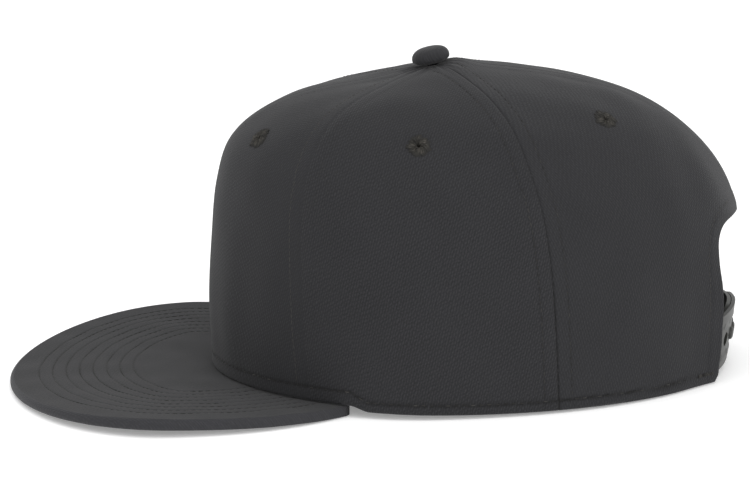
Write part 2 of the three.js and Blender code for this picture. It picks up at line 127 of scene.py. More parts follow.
def graded(count: int, first: float = 1.0, last: float = 1.0, reach: float = 0.07) -> Array:
    """Shares from 0 to 1 whose steps are finer near the ends.

    Args:
        count: How many steps.
        first: The first step's size against a middle step's.
        last: The last step's size against a middle step's.
        reach: How fast the steps grow away from the ends.

    Returns:
        count + 1 shares.
    """
    s = (np.arange(count) + 0.5) / count
    step = 1 - (1 - first) * np.exp(-s / reach) - (1 - last) * np.exp(-(1 - s) / reach)
    total = np.concatenate([[0], np.cumsum(step)])
    return total / total[-1]


def lengths_of(curve: Array) -> Array:
    """The length along a curve of points at each of its points."""
    steps = np.linalg.norm(np.diff(curve, axis=0), axis=1)
    return np.concatenate([[0], np.cumsum(steps)])


def distance_to(points: Array, curve: Array) -> tuple[Array, Array]:
    """How far points lie from a curve, and where along it they are nearest.

    Each point is dropped onto the two segments that meet at its nearest curve point.

    Args:
        points: Any array of points.
        curve: The points of the curve in order.

    Returns:
        The distance and the length along the curve, for each point.
    """
    flat = points.reshape(-1, points.shape[-1])
    gaps = (flat**2).sum(1)[:, None] + (curve**2).sum(1) - 2 * flat @ curve.T
    nearest = gaps.argmin(1)
    run = lengths_of(curve)
    best = np.full(len(flat), np.inf)
    where = np.zeros(len(flat))
    for side in (0, -1):
        a = np.clip(nearest + side, 0, len(curve) - 2)
        step = curve[a + 1] - curve[a]
        size = np.maximum((step**2).sum(1), TINY)
        t = np.clip(((flat - curve[a]) * step).sum(1) / size, 0, 1)
        gap = np.linalg.norm(flat - curve[a] - t[:, None] * step, axis=1)
        closer = gap < best
        best = np.where(closer, gap, best)
        where = np.where(closer, run[a] + t * np.sqrt(size), where)
    return best.reshape(points.shape[:-1]), where.reshape(points.shape[:-1])


def unit(vectors: Array) -> Array:
    """Vectors scaled to length 1."""
    return vectors / np.maximum(np.linalg.norm(vectors, axis=-1, keepdims=True), TINY)


def ripple(points: Array, size: float, seed: int) -> Array:
    """Gentle unevenness of cloth: a sum of plane waves in seeded directions, about -1 to 1.

    Args:
        points: The places, in mm.
        size: The length of the longest wave, in mm.
        seed: Picks the waves.

    Returns:
        The unevenness at each place.
    """
    draw = np.random.default_rng(seed)
    ways = unit(draw.normal(size=(7, 3))) * (2 * np.pi / size) * draw.uniform(1, 2.4, (7, 1))
    phases = draw.uniform(0, 2 * np.pi, 7)
    return np.sin(points @ ways.T + phases).sum(-1) / 4


@dataclass
class Shape:
    """A mesh before it goes into Blender: points in mm, faces, and values for each point."""

    points: Array
    quads: Array
    tris: Array = field(default_factory=lambda: np.zeros((0, 3), int))
    values: dict[str, Array] = field(default_factory=dict)

    def dress(self, grain: Array, nap: float = 1.0, painted_shade: Array | None = None) -> "Shape":
        """Gives a shape the values of its cloth.

        Args:
            grain: The cloth's coordinates in mm, for each point or for each of one face.
            nap: How clearly the wales show.
            painted_shade: The painted shade at each point, or None where nothing is sewn.

        Returns:
            The same shape.
        """
        faces = len(self.points) * 3 // grain.size
        self.values["grain"] = np.concatenate([grain.reshape(-1, 3)] * faces)
        none = np.zeros(len(self.points))
        self.values["painted_shade"] = none if painted_shade is None else painted_shade
        self.values["nap"] = none + nap
        return self

    def flipped(self) -> "Shape":
        """The same shape with its faces turned round."""
        return Shape(self.points, self.quads[:, ::-1], self.tris[:, ::-1], self.values)

    def mirrored(self) -> "Shape":
        """The shape on the other side of the cap, its faces still pointing out."""
        return Shape(self.points * [-1, 1, 1], self.quads[:, ::-1], self.tris[:, ::-1], self.values)

    def volume(self) -> float:
        """The signed volume inside the faces, positive where they point out."""
        tris = np.concatenate([self.quads[:, :3], self.quads[:, [0, 2, 3]], self.tris])
        a, b, c = (self.points[tris[:, k]] for k in range(3))
        return float((a * np.cross(b, c)).sum() / 6)

    def outward(self) -> "Shape":
        """The shape with its faces pointing out."""
        return self if self.volume() > 0 else self.flipped()


def joined(shapes: list[Shape]) -> Shape:
    """One shape out of several.

    Args:
        shapes: The shapes, with the same values.

    Returns:
        The shape of them all.
    """
    starts = np.cumsum([0] + [len(s.points) for s in shapes[:-1]])
    return Shape(
        np.concatenate([s.points for s in shapes]),
        np.concatenate([s.quads + n for s, n in zip(shapes, starts)]),
        np.concatenate([s.tris + n for s, n in zip(shapes, starts)]),
        {k: np.concatenate([s.values[k] for s in shapes]) for k in shapes[0].values},
    )


def grid_quads(index: Array) -> Array:
    """The quads of a grid of vertex numbers, each turning from a column to the next row."""
    return np.stack(
        [index[:-1, :-1], index[:-1, 1:], index[1:, 1:], index[1:, :-1]], -1
    ).reshape(-1, 4)


def shell(outer: Array, inner: Array, hole: tuple[int, int] | None = None) -> Shape:
    """A closed wall between two surfaces on one grid.

    Args:
        outer: Points of the outer surface, rows by columns.
        inner: Points of the inner surface on the same grid.
        hole: The row and column of a cell that is left open, or None.

    Returns:
        The wall, its outer faces turning from a column to the next row.
    """
    rows, columns = outer.shape[:2]
    front = np.arange(rows * columns).reshape(rows, columns)
    back = front + rows * columns
    faces = grid_quads(front)
    behind = grid_quads(back)[:, ::-1]
    rims = []
    loops = [front[0], front[:, -1], front[-1, ::-1], front[::-1, 0]]
    for a in loops:
        b = a + rows * columns
        rims.append(np.stack([a[:-1], b[:-1], b[1:], a[1:]], -1))
    if hole:
        cell = hole[0] * (columns - 1) + hole[1]
        ring = np.append(faces[cell], faces[cell][0])
        beyond = ring + rows * columns
        rims.append(np.stack([ring[:-1], ring[1:], beyond[1:], beyond[:-1]], -1))
        faces = np.delete(faces, cell, 0)
        behind = np.delete(behind, cell, 0)
    points = np.concatenate([outer.reshape(-1, 3), inner.reshape(-1, 3)])
    return Shape(points, np.concatenate([faces, behind, *rims]))


def tube_quads(sections: int, around: int) -> Array:
    """Quads of a closed tube of sections with a ring of points each."""
    index = np.arange(sections * around).reshape(sections, around)
    return grid_quads(np.concatenate([index, index[:, :1]], 1))


def fan(centre: int, ring: Array) -> Array:
    """Triangles from a centre to a closed ring of vertices."""
    after = np.roll(ring, -1)
    return np.stack([np.full(len(ring), centre), ring, after], -1)


def ladder_quads(loop: Array) -> Array:
    """Quads that close a loop of vertices, each between its two sides."""
    a, b = (way[: len(loop) // 2] for way in (loop, loop[::-1]))
    return np.stack([a[:-1], a[1:], b[1:], b[:-1]], -1)


@dataclass(frozen=True)
class Resting:
    """How the cap rests: tipped about x onto the visor's tip and the back of the rim."""

    tip_degrees: float = -1.4958833
    forward: float = 22.65065
    lift: float = 1.76053

    def matrix(self) -> Matrix:
        """The move from the crown's frame to the floor's, in mm."""
        turn = Matrix.Rotation(math.radians(self.tip_degrees), 4, "X")
        return Matrix.Translation((0, self.forward, self.lift)) @ turn

    def place(self, points: Array) -> Array:
        """Points of the crown's frame in metres on the floor."""
        m = np.array(self.matrix())
        return (points @ m[:3, :3].T + m[:3, 3]) * MM


RESTING = Resting()


def put(
    name: str,
    shape: Shape,
    material: bpy.types.Material,
    stands_for: tuple[str, ...] = (),
) -> bpy.types.Object:
    """Makes a piece of the cap from a shape and lets it ride on the cap.

    Args:
        name: The piece's name.
        shape: Its shape in the crown's frame.
        material: Its finish.
        stands_for: The CAD nodes that it replaces.

    Returns:
        The new object.
    """
    mesh = bpy.data.meshes.new(name)
    faces = shape.quads.tolist() + shape.tris.tolist()
    mesh.from_pydata(RESTING.place(shape.points).tolist(), [], faces)
    mesh.polygons.foreach_set("use_smooth", np.ones(len(faces), bool))
    for key, value in shape.values.items():
        kind = "FLOAT_VECTOR" if value.ndim == 2 else "FLOAT"
        layer = mesh.attributes.new(key, kind, "POINT")
        layer.data.foreach_set("vector" if value.ndim == 2 else "value", value.ravel())
    mesh.update()
    mesh.set_sharp_from_angle(angle=math.radians(SHARP_DEGREES))
    mesh.materials.append(material)
    piece = bpy.data.objects.new(name, mesh)
    bpy.context.scene.collection.objects.link(piece)
    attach(piece, "root")
    if stands_for:
        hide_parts(*stands_for)
    log.info("%s: %d points, %d faces", name, len(shape.points), len(faces))
    return piece


@dataclass(frozen=True)
class CrownForm:
    """The crown's sizes in mm, measured from the axis of the top button, and its surfaces."""

    front_reach: float = 86.5
    back_reach: float = 117.5
    half_width: float = 81.5
    height: float = 120.0
    top_slope: float = 0.12
    back_rim_lift: float = 1.6
    rim_gap: float = 0.3  # from the visor's top to the rim
    wall: float = 1.6
    flatness: float = 0.012
    opening_half_width: float = 35.0
    opening_height: float = 63.2
    opening_squareness: float = 7.0
    lip_flare: float = 2.6
    lip_band: float = 11.0
    visor_seat: float = 1.0
    visor_rise: float = 0.4
    visor_droop: float = 3.9
    visor_side_lift: float = 1.7
    visor_reach: float = 80.0
    visor_half_width: float = 97.5
    visor_end_ahead: float = 33.0
    top_level: float = 0.985
    heights: tuple = (0.0, 0.22, 0.44, 0.62, 0.76, 0.865, 0.94, 0.985, 1.0)
    fronts: tuple = (1.0, 1.015, 1.0, 0.975, 0.91, 0.745, 0.5, 0.2, 0.0)
    backs: tuple = (1.0, 1.005, 1.02, 0.98, 0.88, 0.73, 0.49, 0.2, 0.0)
    sides: tuple = (1.0, 0.99, 0.96, 0.9, 0.79, 0.665, 0.48, 0.245, 0.0)
    front_plan: tuple = (1.8, 2.0)
    back_plan: tuple = (2.1, 1.95)
    flares: tuple = (1.1, 1.55, 1.9, 2.0, 2.1, 1.65, 0.85, 0.35, 0.25)
    seam_round: float = 0.25
    # Turns of the seams from the front, in degrees, at the rim, half way up and at the apex
    seams: tuple = ((0, 0, 0), (54.5, 48, 44), (122.5, 121, 121), (180, 180, 180))

    def seam_turn(self, seam: int, level: Array) -> Array:
        """The turn of a seam at a level, in radians."""
        return np.radians(along(self.seams[seam], np.asarray(level, float)))

    def visor_top(self, x: Array, ahead: Array) -> Array:
        """The visor's top: a gentle rise, less a droop that grows with the square of the way
        ahead of the crown, plus a lift with the square of x.

        Args:
            x: The place to the left.
            ahead: The way ahead of the button.

        Returns:
            Its height.
        """
        beyond = ahead - self.front_reach
        rise = math.tan(math.radians(self.visor_rise)) * beyond
        droop = self.visor_droop * (np.maximum(beyond, 0) / self.visor_reach) ** 2
        lift = self.visor_side_lift * (x / self.visor_half_width) ** 2
        return self.visor_seat + rise - droop + lift

    def arch_point(self, share: Array) -> tuple[Array, Array]:
        """A point of the opening's left edge, which is a superellipse.

        Args:
            share: From its foot (0) to its top (1).

        Returns:
            x and the height.
        """
        angle = np.pi / 2 * smooth_step(0, 1, share)
        power = 2 / self.opening_squareness
        x = self.opening_half_width * np.maximum(np.cos(angle), 0) ** power
        return x, self.opening_height * np.sin(angle) ** power

    def flare(self, x: Array, z: Array) -> Array:
        """How far the opening's lip is rolled outwards, fading with the square over the band.

        Args:
            x: The place to the left.
            z: The height.

        Returns:
            The distance backwards.
        """
        power = self.opening_squareness
        share = (np.abs(x) / self.opening_half_width) ** power
        share = (share + (np.maximum(z, 0) / self.opening_height) ** power) ** (1 / power)
        outside = (share - 1) * min(self.opening_half_width, self.opening_height)
        fade = (1 - np.clip(outside / self.lip_band, 0, 1)) ** 2
        return self.lip_flare * fade * along(self.flares, z / self.opening_height)

    def visor_end_turn(self) -> float:
        """The turn at which the visor ends.

        Returns:
            Radians from the front.
        """
        power = self.front_plan[0]
        share = (self.visor_end_ahead / self.front_reach) ** power
        return math.atan2(self.half_width * (1 - share) ** (1 / power), self.visor_end_ahead)

    def off_visor(self, turn: Array) -> Array:
        """0 where the rim lies over the visor, 1 where it is clear of it."""
        end = self.visor_end_turn()
        return smooth_step(end + math.radians(1), end + math.radians(7), np.abs(turn))

    def rim_height(self, turn: Array) -> Array:
        """The rim's height, which follows the visor's top where it lies over the visor.

        Args:
            turn: Radians from the front.

        Returns:
            The height.
        """
        radius = self.radius(turn, np.zeros_like(turn))
        x = radius * np.sin(turn)
        ahead = radius * np.cos(turn)
        lift = np.where(ahead < 0, self.back_rim_lift * np.cos(turn) ** 2, 0)
        clear = self.off_visor(turn)
        return between(self.visor_top(x, ahead) + self.rim_gap, lift, clear)

    def between_seams(self, turn: Array, level: Array) -> Array:
        """A panel's fullness: h = 4s(1 - s), rounded off close to a seam as
        h^2 (1 + k) / (h + k), growing up to the shoulder.

        Args:
            turn: Radians from the front.
            level: 0 at the rim to 1 at the apex.

        Returns:
            0 on a seam to 1 in the middle of a panel.
        """
        side = np.abs(turn)
        turns = np.stack([self.seam_turn(k, level) + 0 * side for k in range(4)])
        panel = (side > turns[1]).astype(int) + (side > turns[2])
        start = np.take_along_axis(turns, panel[None], 0)[0]
        end = np.take_along_axis(turns, panel[None] + 1, 0)[0]
        share = np.clip((side - start) / (end - start), 0, 1)
        hump = 4 * share * (1 - share)
        hump = hump**2 * (1 + self.seam_round) / (hump + self.seam_round)
        return hump * smooth_step(0.2, 0.7, level)

    def radius(self, turn: Array, level: Array) -> Array:
        """The radius of the crown's plan, a superellipse in each of its halves.

        Args:
            turn: Radians from the front.
            level: 0 at the rim to 1 at the apex.

        Returns:
            The radius.
        """
        forward = np.cos(turn) > 0
        reach = np.where(
            forward,
            self.front_reach * along(self.fronts, level),
            self.back_reach * along(self.backs, level),
        )
        width = self.half_width * along(self.sides, level)
        power = np.where(forward, along(self.front_plan, level), along(self.back_plan, level))
        lengthwise = (np.abs(np.cos(turn)) / np.maximum(reach, TINY)) ** power
        across = (np.abs(np.sin(turn)) / np.maximum(width, TINY)) ** power
        round_form = (lengthwise + across) ** (-1 / power)
        return round_form * (1 - self.flatness * self.between_seams(turn, level))

    def skin(self, turn: Array, level: Array) -> Array:
        """The crown's outer surface: the plan at each level, raised by the rim's shape below
        and lowered to the front above, with the opening's lip flared.

        Args:
            turn: Radians from the front.
            level: 0 at the rim to 1 at the apex.

        Returns:
            Points.
        """
        turn, level = np.broadcast_arrays(np.asarray(turn, float), np.asarray(level, float))
        radius = self.radius(turn, level)
        x = radius * np.sin(turn)
        ahead = radius * np.cos(turn)
        z = self.height * along(self.heights, level, True)
        z = z + self.rim_height(turn) * (1 - level) ** 2
        z = z - self.top_slope * ahead * np.clip(2 * level - 1, 0, 1) ** 2
        flare = np.where(ahead < 0, self.flare(x, z), 0)
        return np.stack([x, -ahead - flare * np.cos(turn), z], -1)

    def slopes(self, turn: Array, level: Array) -> tuple[Array, Array]:
        """How the surface moves, by small differences.

        Args:
            turn: Radians from the front.
            level: 0 at the rim to 1 at the apex.

        Returns:
            The move for each radian round and for each level up.
        """
        step = 1e-3
        low = np.clip(level, step, 1 - 2 * step)
        around = self.skin(turn + step, low) - self.skin(turn - step, low)
        up = self.skin(turn, low + step) - self.skin(turn, low - step)
        return around / (2 * step), up / (2 * step)

    def normal(self, turn: Array, level: Array) -> Array:
        """The outward normal of the outer surface."""
        around, up = self.slopes(turn, level)
        return unit(np.cross(around, up))

    def point(self, turn: Array, level: Array, out: Array) -> Array:
        """A point a distance outside the outer surface."""
        return self.skin(turn, level) + self.normal(turn, level) * np.asarray(out)[..., None]

    def lining(self, turn: Array, level: Array, depth: Array, wall: Array) -> Shape:
        """A wall that lies under the crown's cloth.

        Args:
            turn: Its grid's turns.
            level: Its grid's levels.
            depth: How far its outer face lies below the crown's outer surface.
            wall: How thick it is.

        Returns:
            The wall.
        """
        return shell(self.point(turn, level, -depth), self.point(turn, level, -depth - wall))

    def beside(self, turn: Array, level: Array, a: Array, b: Array) -> tuple[Array, Array]:
        """Steps over the surface from a place.

        Args:
            turn: Radians from the front.
            level: 0 at the rim to 1 at the apex.
            a: The steps round, in mm.
            b: The steps up, in mm.

        Returns:
            The turn and level there.
        """
        around, up = self.slopes(turn, level)
        side = unit(around)
        rise = np.cross(unit(np.cross(around, up)), side)
        d_level = b / (up * rise).sum(-1)
        d_turn = (a - d_level * (up * side).sum(-1)) / (around * side).sum(-1)
        return turn + d_turn, level + d_level

    def level_at(self, turn: Array, z: Array) -> Array:
        """The level where the crown reaches a height, by halving.

        Args:
            turn: Radians from the front.
            z: The height.

        Returns:
            The level.
        """
        turn, z = np.broadcast_arrays(np.asarray(turn, float), np.asarray(z, float))
        low = np.zeros(turn.shape)
        high = np.full(turn.shape, 0.9)
        for _ in range(26):
            middle = (low + high) / 2
            below = self.skin(turn, middle)[..., 2] < z
            low = np.where(below, middle, low)
            high = np.where(below, high, middle)
        return (low + high) / 2

    def turn_at(self, x: Array, z: Array) -> Array:
        """The turn where the back wall stands x to the side at a height, by halving.

        Args:
            x: The place to the left.
            z: The height.

        Returns:
            The turn.
        """
        x, z = np.broadcast_arrays(np.asarray(x, float), np.asarray(z, float))
        low = np.full(x.shape, math.radians(100))
        high = np.full(x.shape, math.pi)
        for _ in range(26):
            middle = (low + high) / 2
            wide = self.skin(middle, self.level_at(middle, z))[..., 0] > np.abs(x)
            low = np.where(wide, middle, low)
            high = np.where(wide, high, middle)
        return (low + high) / 2 * np.where(x < 0, -1, 1)


@dataclass(frozen=True)
class Seam:
    """How a seam shows: its groove, the pad of its allowance, its rows of stitches and the painted
    shade in its groove and beside its rows.
    """

    groove: float = 0.08
    width: float = 0.9
    pad: float = 0.04
    dip: float = 0.03
    dark: float = 0.05


@dataclass(frozen=True)
class Swell:
    """A soft rise of the cloth at the crown's top, or a sink where it is negative, in mm."""

    rise: float
    behind: float  # from the button's axis to its middle
    length: float
    width: float


@dataclass(frozen=True)
class Sewing:
    """How far the cloth stands up or sinks at the crown's seams, hems and edges, in mm."""

    form: CrownForm
    seams: tuple = (
        Seam(),
        Seam(groove=0.06, width=1.2, pad=0.1, dip=0.05, dark=0.05),
        Seam(groove=0.25, width=0.35, pad=0.1, dip=0.1, dark=1.0),
        Seam(pad=0.1),
    )
    allowance: float = 5.4
    stitch_width: float = 0.6
    pucker: float = 0.06
    full_dip: float = 0.12
    pucker_pitch: float = 2.6
    hem: float = 4.0
    hem_over_visor: float = 5.4
    hem_rise: float = 0.25
    hem_dip: float = 0.25
    arch_hem: float = 6.4
    arch_rise: float = 0.25
    arch_dip: float = 0.1
    fold: float = 1.15
    unevenness: float = 0.3
    gather: float = 0.16
    gathers: int = 19
    gather_radius: float = 9.5
    gather_band: float = 4.5
    swells: tuple = (
        Swell(rise=-1.15, behind=-25, length=19, width=34),
        Swell(rise=1.5, behind=10, length=6.5, width=16),
        Swell(rise=0.7, behind=71, length=14, width=40),
    )
    shoulder: tuple = (70, 100)  # the heights between which the swells begin
    step: float = 0.9  # half the width over which a hem's edge steps down
    pad_start: tuple = (0.1, 1.6)  # from a seam to where its pad is full
    pad_end: tuple = (1.4, -0.8)  # from the allowance's edge to where the pad ends
    pucker_width: float = 1.7
    calm: tuple = (1.0, 9.0)  # from a seam or the rim to where the cloth is free to wave
    wave: float = 46.0
    wave_seed: int = 3
    # The painted shade along the hem, along the opening's row, beside the rows of stitches and in
    # the seams' grooves.
    hem_dark: float = 0.95
    arch_dark: float = 0.1
    row_dark: float = 0.22
    seam_dark_top: float = 0.4  # the share of a seam's painted shade that is left high up
    dark_heights: tuple = (85, 35)
    dark_widths: tuple = (0.32, 0.5, 0.6)  # along a seam, a row of stitches and the hem
    curves: dict[str, Array] = field(default_factory=dict)

    def prepare(self) -> "Sewing":
        """Works out the left seams and the opening's edge as curves of points.

        Returns:
            Itself.
        """
        form = self.form
        levels = np.linspace(0, form.top_level, 170)
        for seam in range(3):
            self.curves[f"seam{seam}"] = form.skin(form.seam_turn(seam, levels), levels)
        arch_top = form.level_at(math.pi, form.opening_height)
        levels = np.linspace(arch_top, form.top_level, 90)
        self.curves["seam3"] = form.skin(np.full(90, math.pi), levels)
        x, z = form.arch_point(np.linspace(0, 1, 150))
        turn = form.turn_at(x, z)
        self.curves["arch"] = form.skin(turn, form.level_at(turn, z))
        return self

    def hem_height(self, turn: Array) -> Array:
        """How far above the rim the hem is stitched."""
        clear = self.form.off_visor(turn)
        return between(self.hem_over_visor, self.hem, clear)

    def measures(self, turn: Array, level: Array) -> dict[str, Array]:
        """Distances in mm that the relief and the finish follow.

        Args:
            turn: Turns from the front.
            level: Levels up the crown.

        Returns:
            The skin's points, and distances to each seam, the rim, the hem and the arch,
            with the runs along the seams and the arch.
        """
        skin = self.form.skin(turn, level)
        near = np.stack([np.abs(skin[..., 0]), skin[..., 1], skin[..., 2]], -1)
        seams = [distance_to(near, self.curves[f"seam{k}"]) for k in range(4)]
        arch, arch_run = distance_to(near, self.curves["arch"])
        rim = skin[..., 2] - self.form.rim_height(turn)
        return {
            "skin": skin,
            "turn": turn + 0 * rim,
            "seams": np.stack([gap for gap, _ in seams]),
            "runs": np.stack([run for _, run in seams]),
            "rim": rim,
            "hem": rim - self.hem_height(turn),
            "arch": arch,
            "arch_run": arch_run,
        }

    def rounded(self, distance: Array) -> Array:
        """How deep a folded edge rounds in at a distance from it: a quarter circle."""
        reach = np.clip(self.fold - distance, 0, self.fold)
        return self.fold - np.sqrt(self.fold**2 - reach**2)

    def row(self, gap: Array, run: Array, dip: float) -> Array:
        """A row of stitches: a dip along it and small puckers across it.

        Args:
            gap: The distance from the row.
            run: The length along it.
            dip: How deep it sinks.

        Returns:
            How far out the cloth stands.
        """
        wave = np.sin(2 * np.pi * run / self.pucker_pitch)
        pucker = self.pucker * min(dip / self.full_dip, 1)
        return -dip * bell(gap, self.stitch_width) + pucker * wave * bell(gap, self.pucker_width)

    def apex(self, m: dict[str, Array]) -> Array:
        """The crown's top: gathers that fan out from under the button, and bell-shaped swells.

        Args:
            m: The measures of the places.

        Returns:
            How far out the cloth stands.
        """
        x, y, z = np.moveaxis(m["skin"], -1, 0)
        fan_out = np.sin(self.gathers * m["turn"] + 2 * np.sin(3 * m["turn"]))
        out = self.gather * fan_out * bell(np.hypot(x, y) - self.gather_radius, self.gather_band)
        top = smooth_step(*self.shoulder, z)
        for swell in self.swells:
            lengthwise = bell(y - swell.behind, swell.length)
            out = out + swell.rise * lengthwise * bell(x, swell.width) * top
        return out

    def relief(self, m: dict[str, Array]) -> Array:
        """How far out the cloth stands at the places of these measures.

        A groove on each seam, a pad over its allowance, a row of stitches on each side of
        it, the same at the hems, rounded folds, the apex and a gentle unevenness.

        Args:
            m: The measures of the places.

        Returns:
            The distance out from the crown's form.
        """
        out = self.apex(m)
        pads = [self.hem_rise * smooth_step(self.step, -self.step, m["hem"])]
        pads.append(self.arch_rise * smooth_step(self.step, -self.step, m["arch"] - self.arch_hem))
        nearest = m["seams"].min(0)
        for seam, gap, run in zip(self.seams, m["seams"], m["runs"]):
            out = out - seam.groove * bell(gap, seam.width)
            edge = smooth_step(*self.pad_end, gap - self.allowance)
            pads.append(seam.pad * smooth_step(*self.pad_start, gap) * edge)
            own = np.where(nearest > gap - 0.1, 1.0, 0.0)
            out = out + own * self.row(gap - self.allowance, run, seam.dip)
        out = out + np.max(pads, axis=0)
        slant = m["skin"][..., 1] + m["skin"][..., 0]
        out = out + self.row(m["hem"], slant, self.hem_dip)
        out = out + self.row(m["arch"] - self.arch_hem, m["arch_run"], self.arch_dip)
        out = out - self.rounded(np.maximum(m["rim"], 0)) - self.rounded(m["arch"])
        free = smooth_step(*self.calm, np.minimum(nearest, m["rim"]))
        return out + self.unevenness * free * ripple(m["skin"], self.wave, self.wave_seed)

    def painted_shade(self, m: dict[str, Array]) -> Array:
        """The painted shade of the cloth in its seams' grooves, along its hem and round its
        stitches.

        Args:
            m: The measures of the places.

        Returns:
            0 for plain cloth to 1 for the darkest.
        """
        on_seam, on_row, on_hem = self.dark_widths
        # The seams' painted shade is weaker higher up.
        low = smooth_step(*self.dark_heights, m["skin"][..., 2])
        fade = self.seam_dark_top + (1 - self.seam_dark_top) * low
        dark = self.hem_dark * bell(m["hem"], on_hem)
        dark = np.maximum(dark, self.arch_dark * bell(m["arch"] - self.arch_hem, on_row))
        for seam, gap in zip(self.seams, m["seams"]):
            dark = np.maximum(dark, seam.dark * fade * bell(gap, on_seam))
            dark = np.maximum(dark, self.row_dark * seam.dark * bell(gap - self.allowance, on_row))
        return dark

    def cloth(self, turn: Array, level: Array) -> Array:
        """Points of the sewn cloth's outer surface."""
        m = self.measures(turn, level)
        return m["skin"] + self.form.normal(turn, level) * self.relief(m)[..., None]


def linear(colour: str) -> tuple[float, float, float, float]:
    """Turns an sRGB colour to linear.

    Args:
        colour: The colour as #rrggbb.

    Returns:
        Linear red, green and blue, and alpha 1.
    """
    parts = [int(colour[i : i + 2], 16) / 255 for i in (1, 3, 5)]
    made = [c / 12.92 if c <= 0.04045 else ((c + 0.055) / 1.055) ** 2.4 for c in parts]
    return (*made, 1.0)


def add(
    tree: bpy.types.NodeTree,
    kind: str,
    settings: dict | None = None,
    inputs: dict | None = None,
    output: int | str = 0,
) -> bpy.types.NodeSocket | None:
    """Adds a node to a tree with its settings, and its inputs linked or set.

    Args:
        tree: The material's node tree.
        kind: The node's type, without ShaderNode.
        settings: Values of the node's own properties.
        inputs: For each input, by name or number, an output to link or a value.
        output: The output that is wanted, by name or number.

    Returns:
        That output, or None where the node has none.
    """
    node = tree.nodes.new("ShaderNode" + kind)
    for name, value in (settings or {}).items():
        setattr(node, name, value)
    for name, value in (inputs or {}).items():
        if isinstance(value, bpy.types.NodeSocket):
            tree.links.new(value, node.inputs[name])
        else:
            node.inputs[name].default_value = value
    return node.outputs[output] if node.outputs else None


def new_material(name: str) -> tuple[bpy.types.Material, bpy.types.NodeTree]:
    """Makes an empty node material.

    Args:
        name: Its name.

    Returns:
        The material and its node tree.
    """
    material = bpy.data.materials.new(name)
    material.use_nodes = True
    material.node_tree.nodes.clear()
    return material, material.node_tree


@dataclass(frozen=True)
class Twill:
    """Dyed cotton twill, pressed: matt, with fine slanting wales that catch a little light on
    their backs, broken up by the yarns, and a soft sheen of loose fibre at grazing angles."""

    name: str
    colour: str = "#272729"
    spread: float = 0.5  # how far the wales' tone swings round the colour
    # the colour of the painted shade in seams, along stitches and under the button
    painted_shade_colour: str = "#0e0d0d"
    wale: float = 1.0  # mm from one wale to the next, coarser than real so that it shows
    float_length: float = 1.9  # mm from one float of a yarn to its next
    mean: float = 1.4  # what the weave's height averages
    painted_edge_light: float = 2.0  # how much lighter the cloth is painted where light is painted on the visor's edge
    wale_depth: float = 0.09
    roughness: float = 0.92
    sheen: float = 0.1
    # the strength of the painted shade
    painted_shade: float = 0.9

    def make(self) -> bpy.types.Material:
        """Builds the material, which follows the grain, the nap, the painted shade and the painted
        light on the visor's edge.

        Returns:
            The material.
        """
        material, tree = new_material(self.name)
        nap, painted_shade, painted_edge_light = (
            add(tree, "Attribute", {"attribute_name": name}, output="Fac")
            for name in ("nap", "painted_shade", "painted_edge_light")
        )
        grain = add(tree, "Attribute", {"attribute_name": "grain"}, output="Vector")
        # Half a float further along on each next wale, so that the floats lie like bricks
        diagonal = math.sqrt(2)
        turned = {"Vector": grain, "Rotation": (0, 0, -math.pi / 4),
                  "Scale": (-diagonal / 2 / self.wale, diagonal / self.float_length, 1)}
        bricks = add(tree, "Mapping", inputs=turned)
        bands = {"wave_type": "BANDS", "bands_direction": "X", "wave_profile": "SIN"}
        wales, floats = (
            add(tree, "TexWave", bands,
                {"Vector": place, "Scale": scale, "Distortion": bent, "Detail": 2.0,
                 "Detail Scale": detail}, "Fac")
            for place, scale, bent, detail in (
                (grain, WAVE_CYCLE / self.wale, 2.6, 1.6), (bricks, WAVE_CYCLE, 4.5, 1.5)
            )
        )
        yarns, patches, knots, gaps = (
            add(tree, "TexNoise", None, {"Vector": grain, "Scale": scale, "Detail": 2.0}, "Fac")
            for scale in (1.5, 0.04, 0.9, 0.75)
        )
        fleck = add(tree, "MapRange", inputs={"Value": knots, "From Min": 0.78, "From Max": 0.9})
        broken = add(
            tree, "MapRange",
            inputs={"Value": gaps, "From Min": 0.32, "From Max": 0.5, "To Max": self.painted_shade},
        )
        times, plus = {"operation": "MULTIPLY"}, {"operation": "MULTIPLY_ADD"}
        weave = add(tree, "Math", times, {0: wales, 1: floats})
        for part, share in ((wales, 0.3), (yarns, 2.0)):
            weave = add(tree, "Math", plus, {0: part, 1: share, 2: weave})
        weave = add(tree, "Math", {"operation": "SUBTRACT"}, {0: weave, 1: self.mean})
        tone = add(tree, "Math", times, {0: weave, 1: nap})
        for part, share in ((patches, 0.5), (fleck, 1.0), (painted_edge_light, self.painted_edge_light)):
            tone = add(tree, "Math", plus, {0: part, 1: share, 2: tone})
        tone = add(tree, "Math", plus, {0: tone, 1: self.spread, 2: 1 - self.spread / 4})
        cloth = add(
            tree, "VectorMath", {"operation": "SCALE"}, {0: linear(self.colour)[:3], "Scale": tone}
        )
        # Painted shade: the cloth is mixed towards the shade's colour where shade is painted,
        # broken up by noise.
        dark = add(tree, "Math", times, {0: painted_shade, 1: broken})
        tones = {0: dark, 6: cloth, 7: linear(self.painted_shade_colour)}
        colour = add(tree, "Mix", {"data_type": "RGBA"}, tones, 2)
        raised = {"Height": weave, "Strength": 0.7, "Distance": self.wale_depth * MM}
        surface = add(tree, "BsdfPrincipled", inputs={
            "Base Color": colour, "Roughness": self.roughness, "Specular IOR Level": 0.25,
            "Sheen Weight": self.sheen, "Sheen Roughness": 0.45,
            "Normal": add(tree, "Bump", inputs=raised),
        })
        add(tree, "OutputMaterial", inputs={"Surface": surface})
        return material


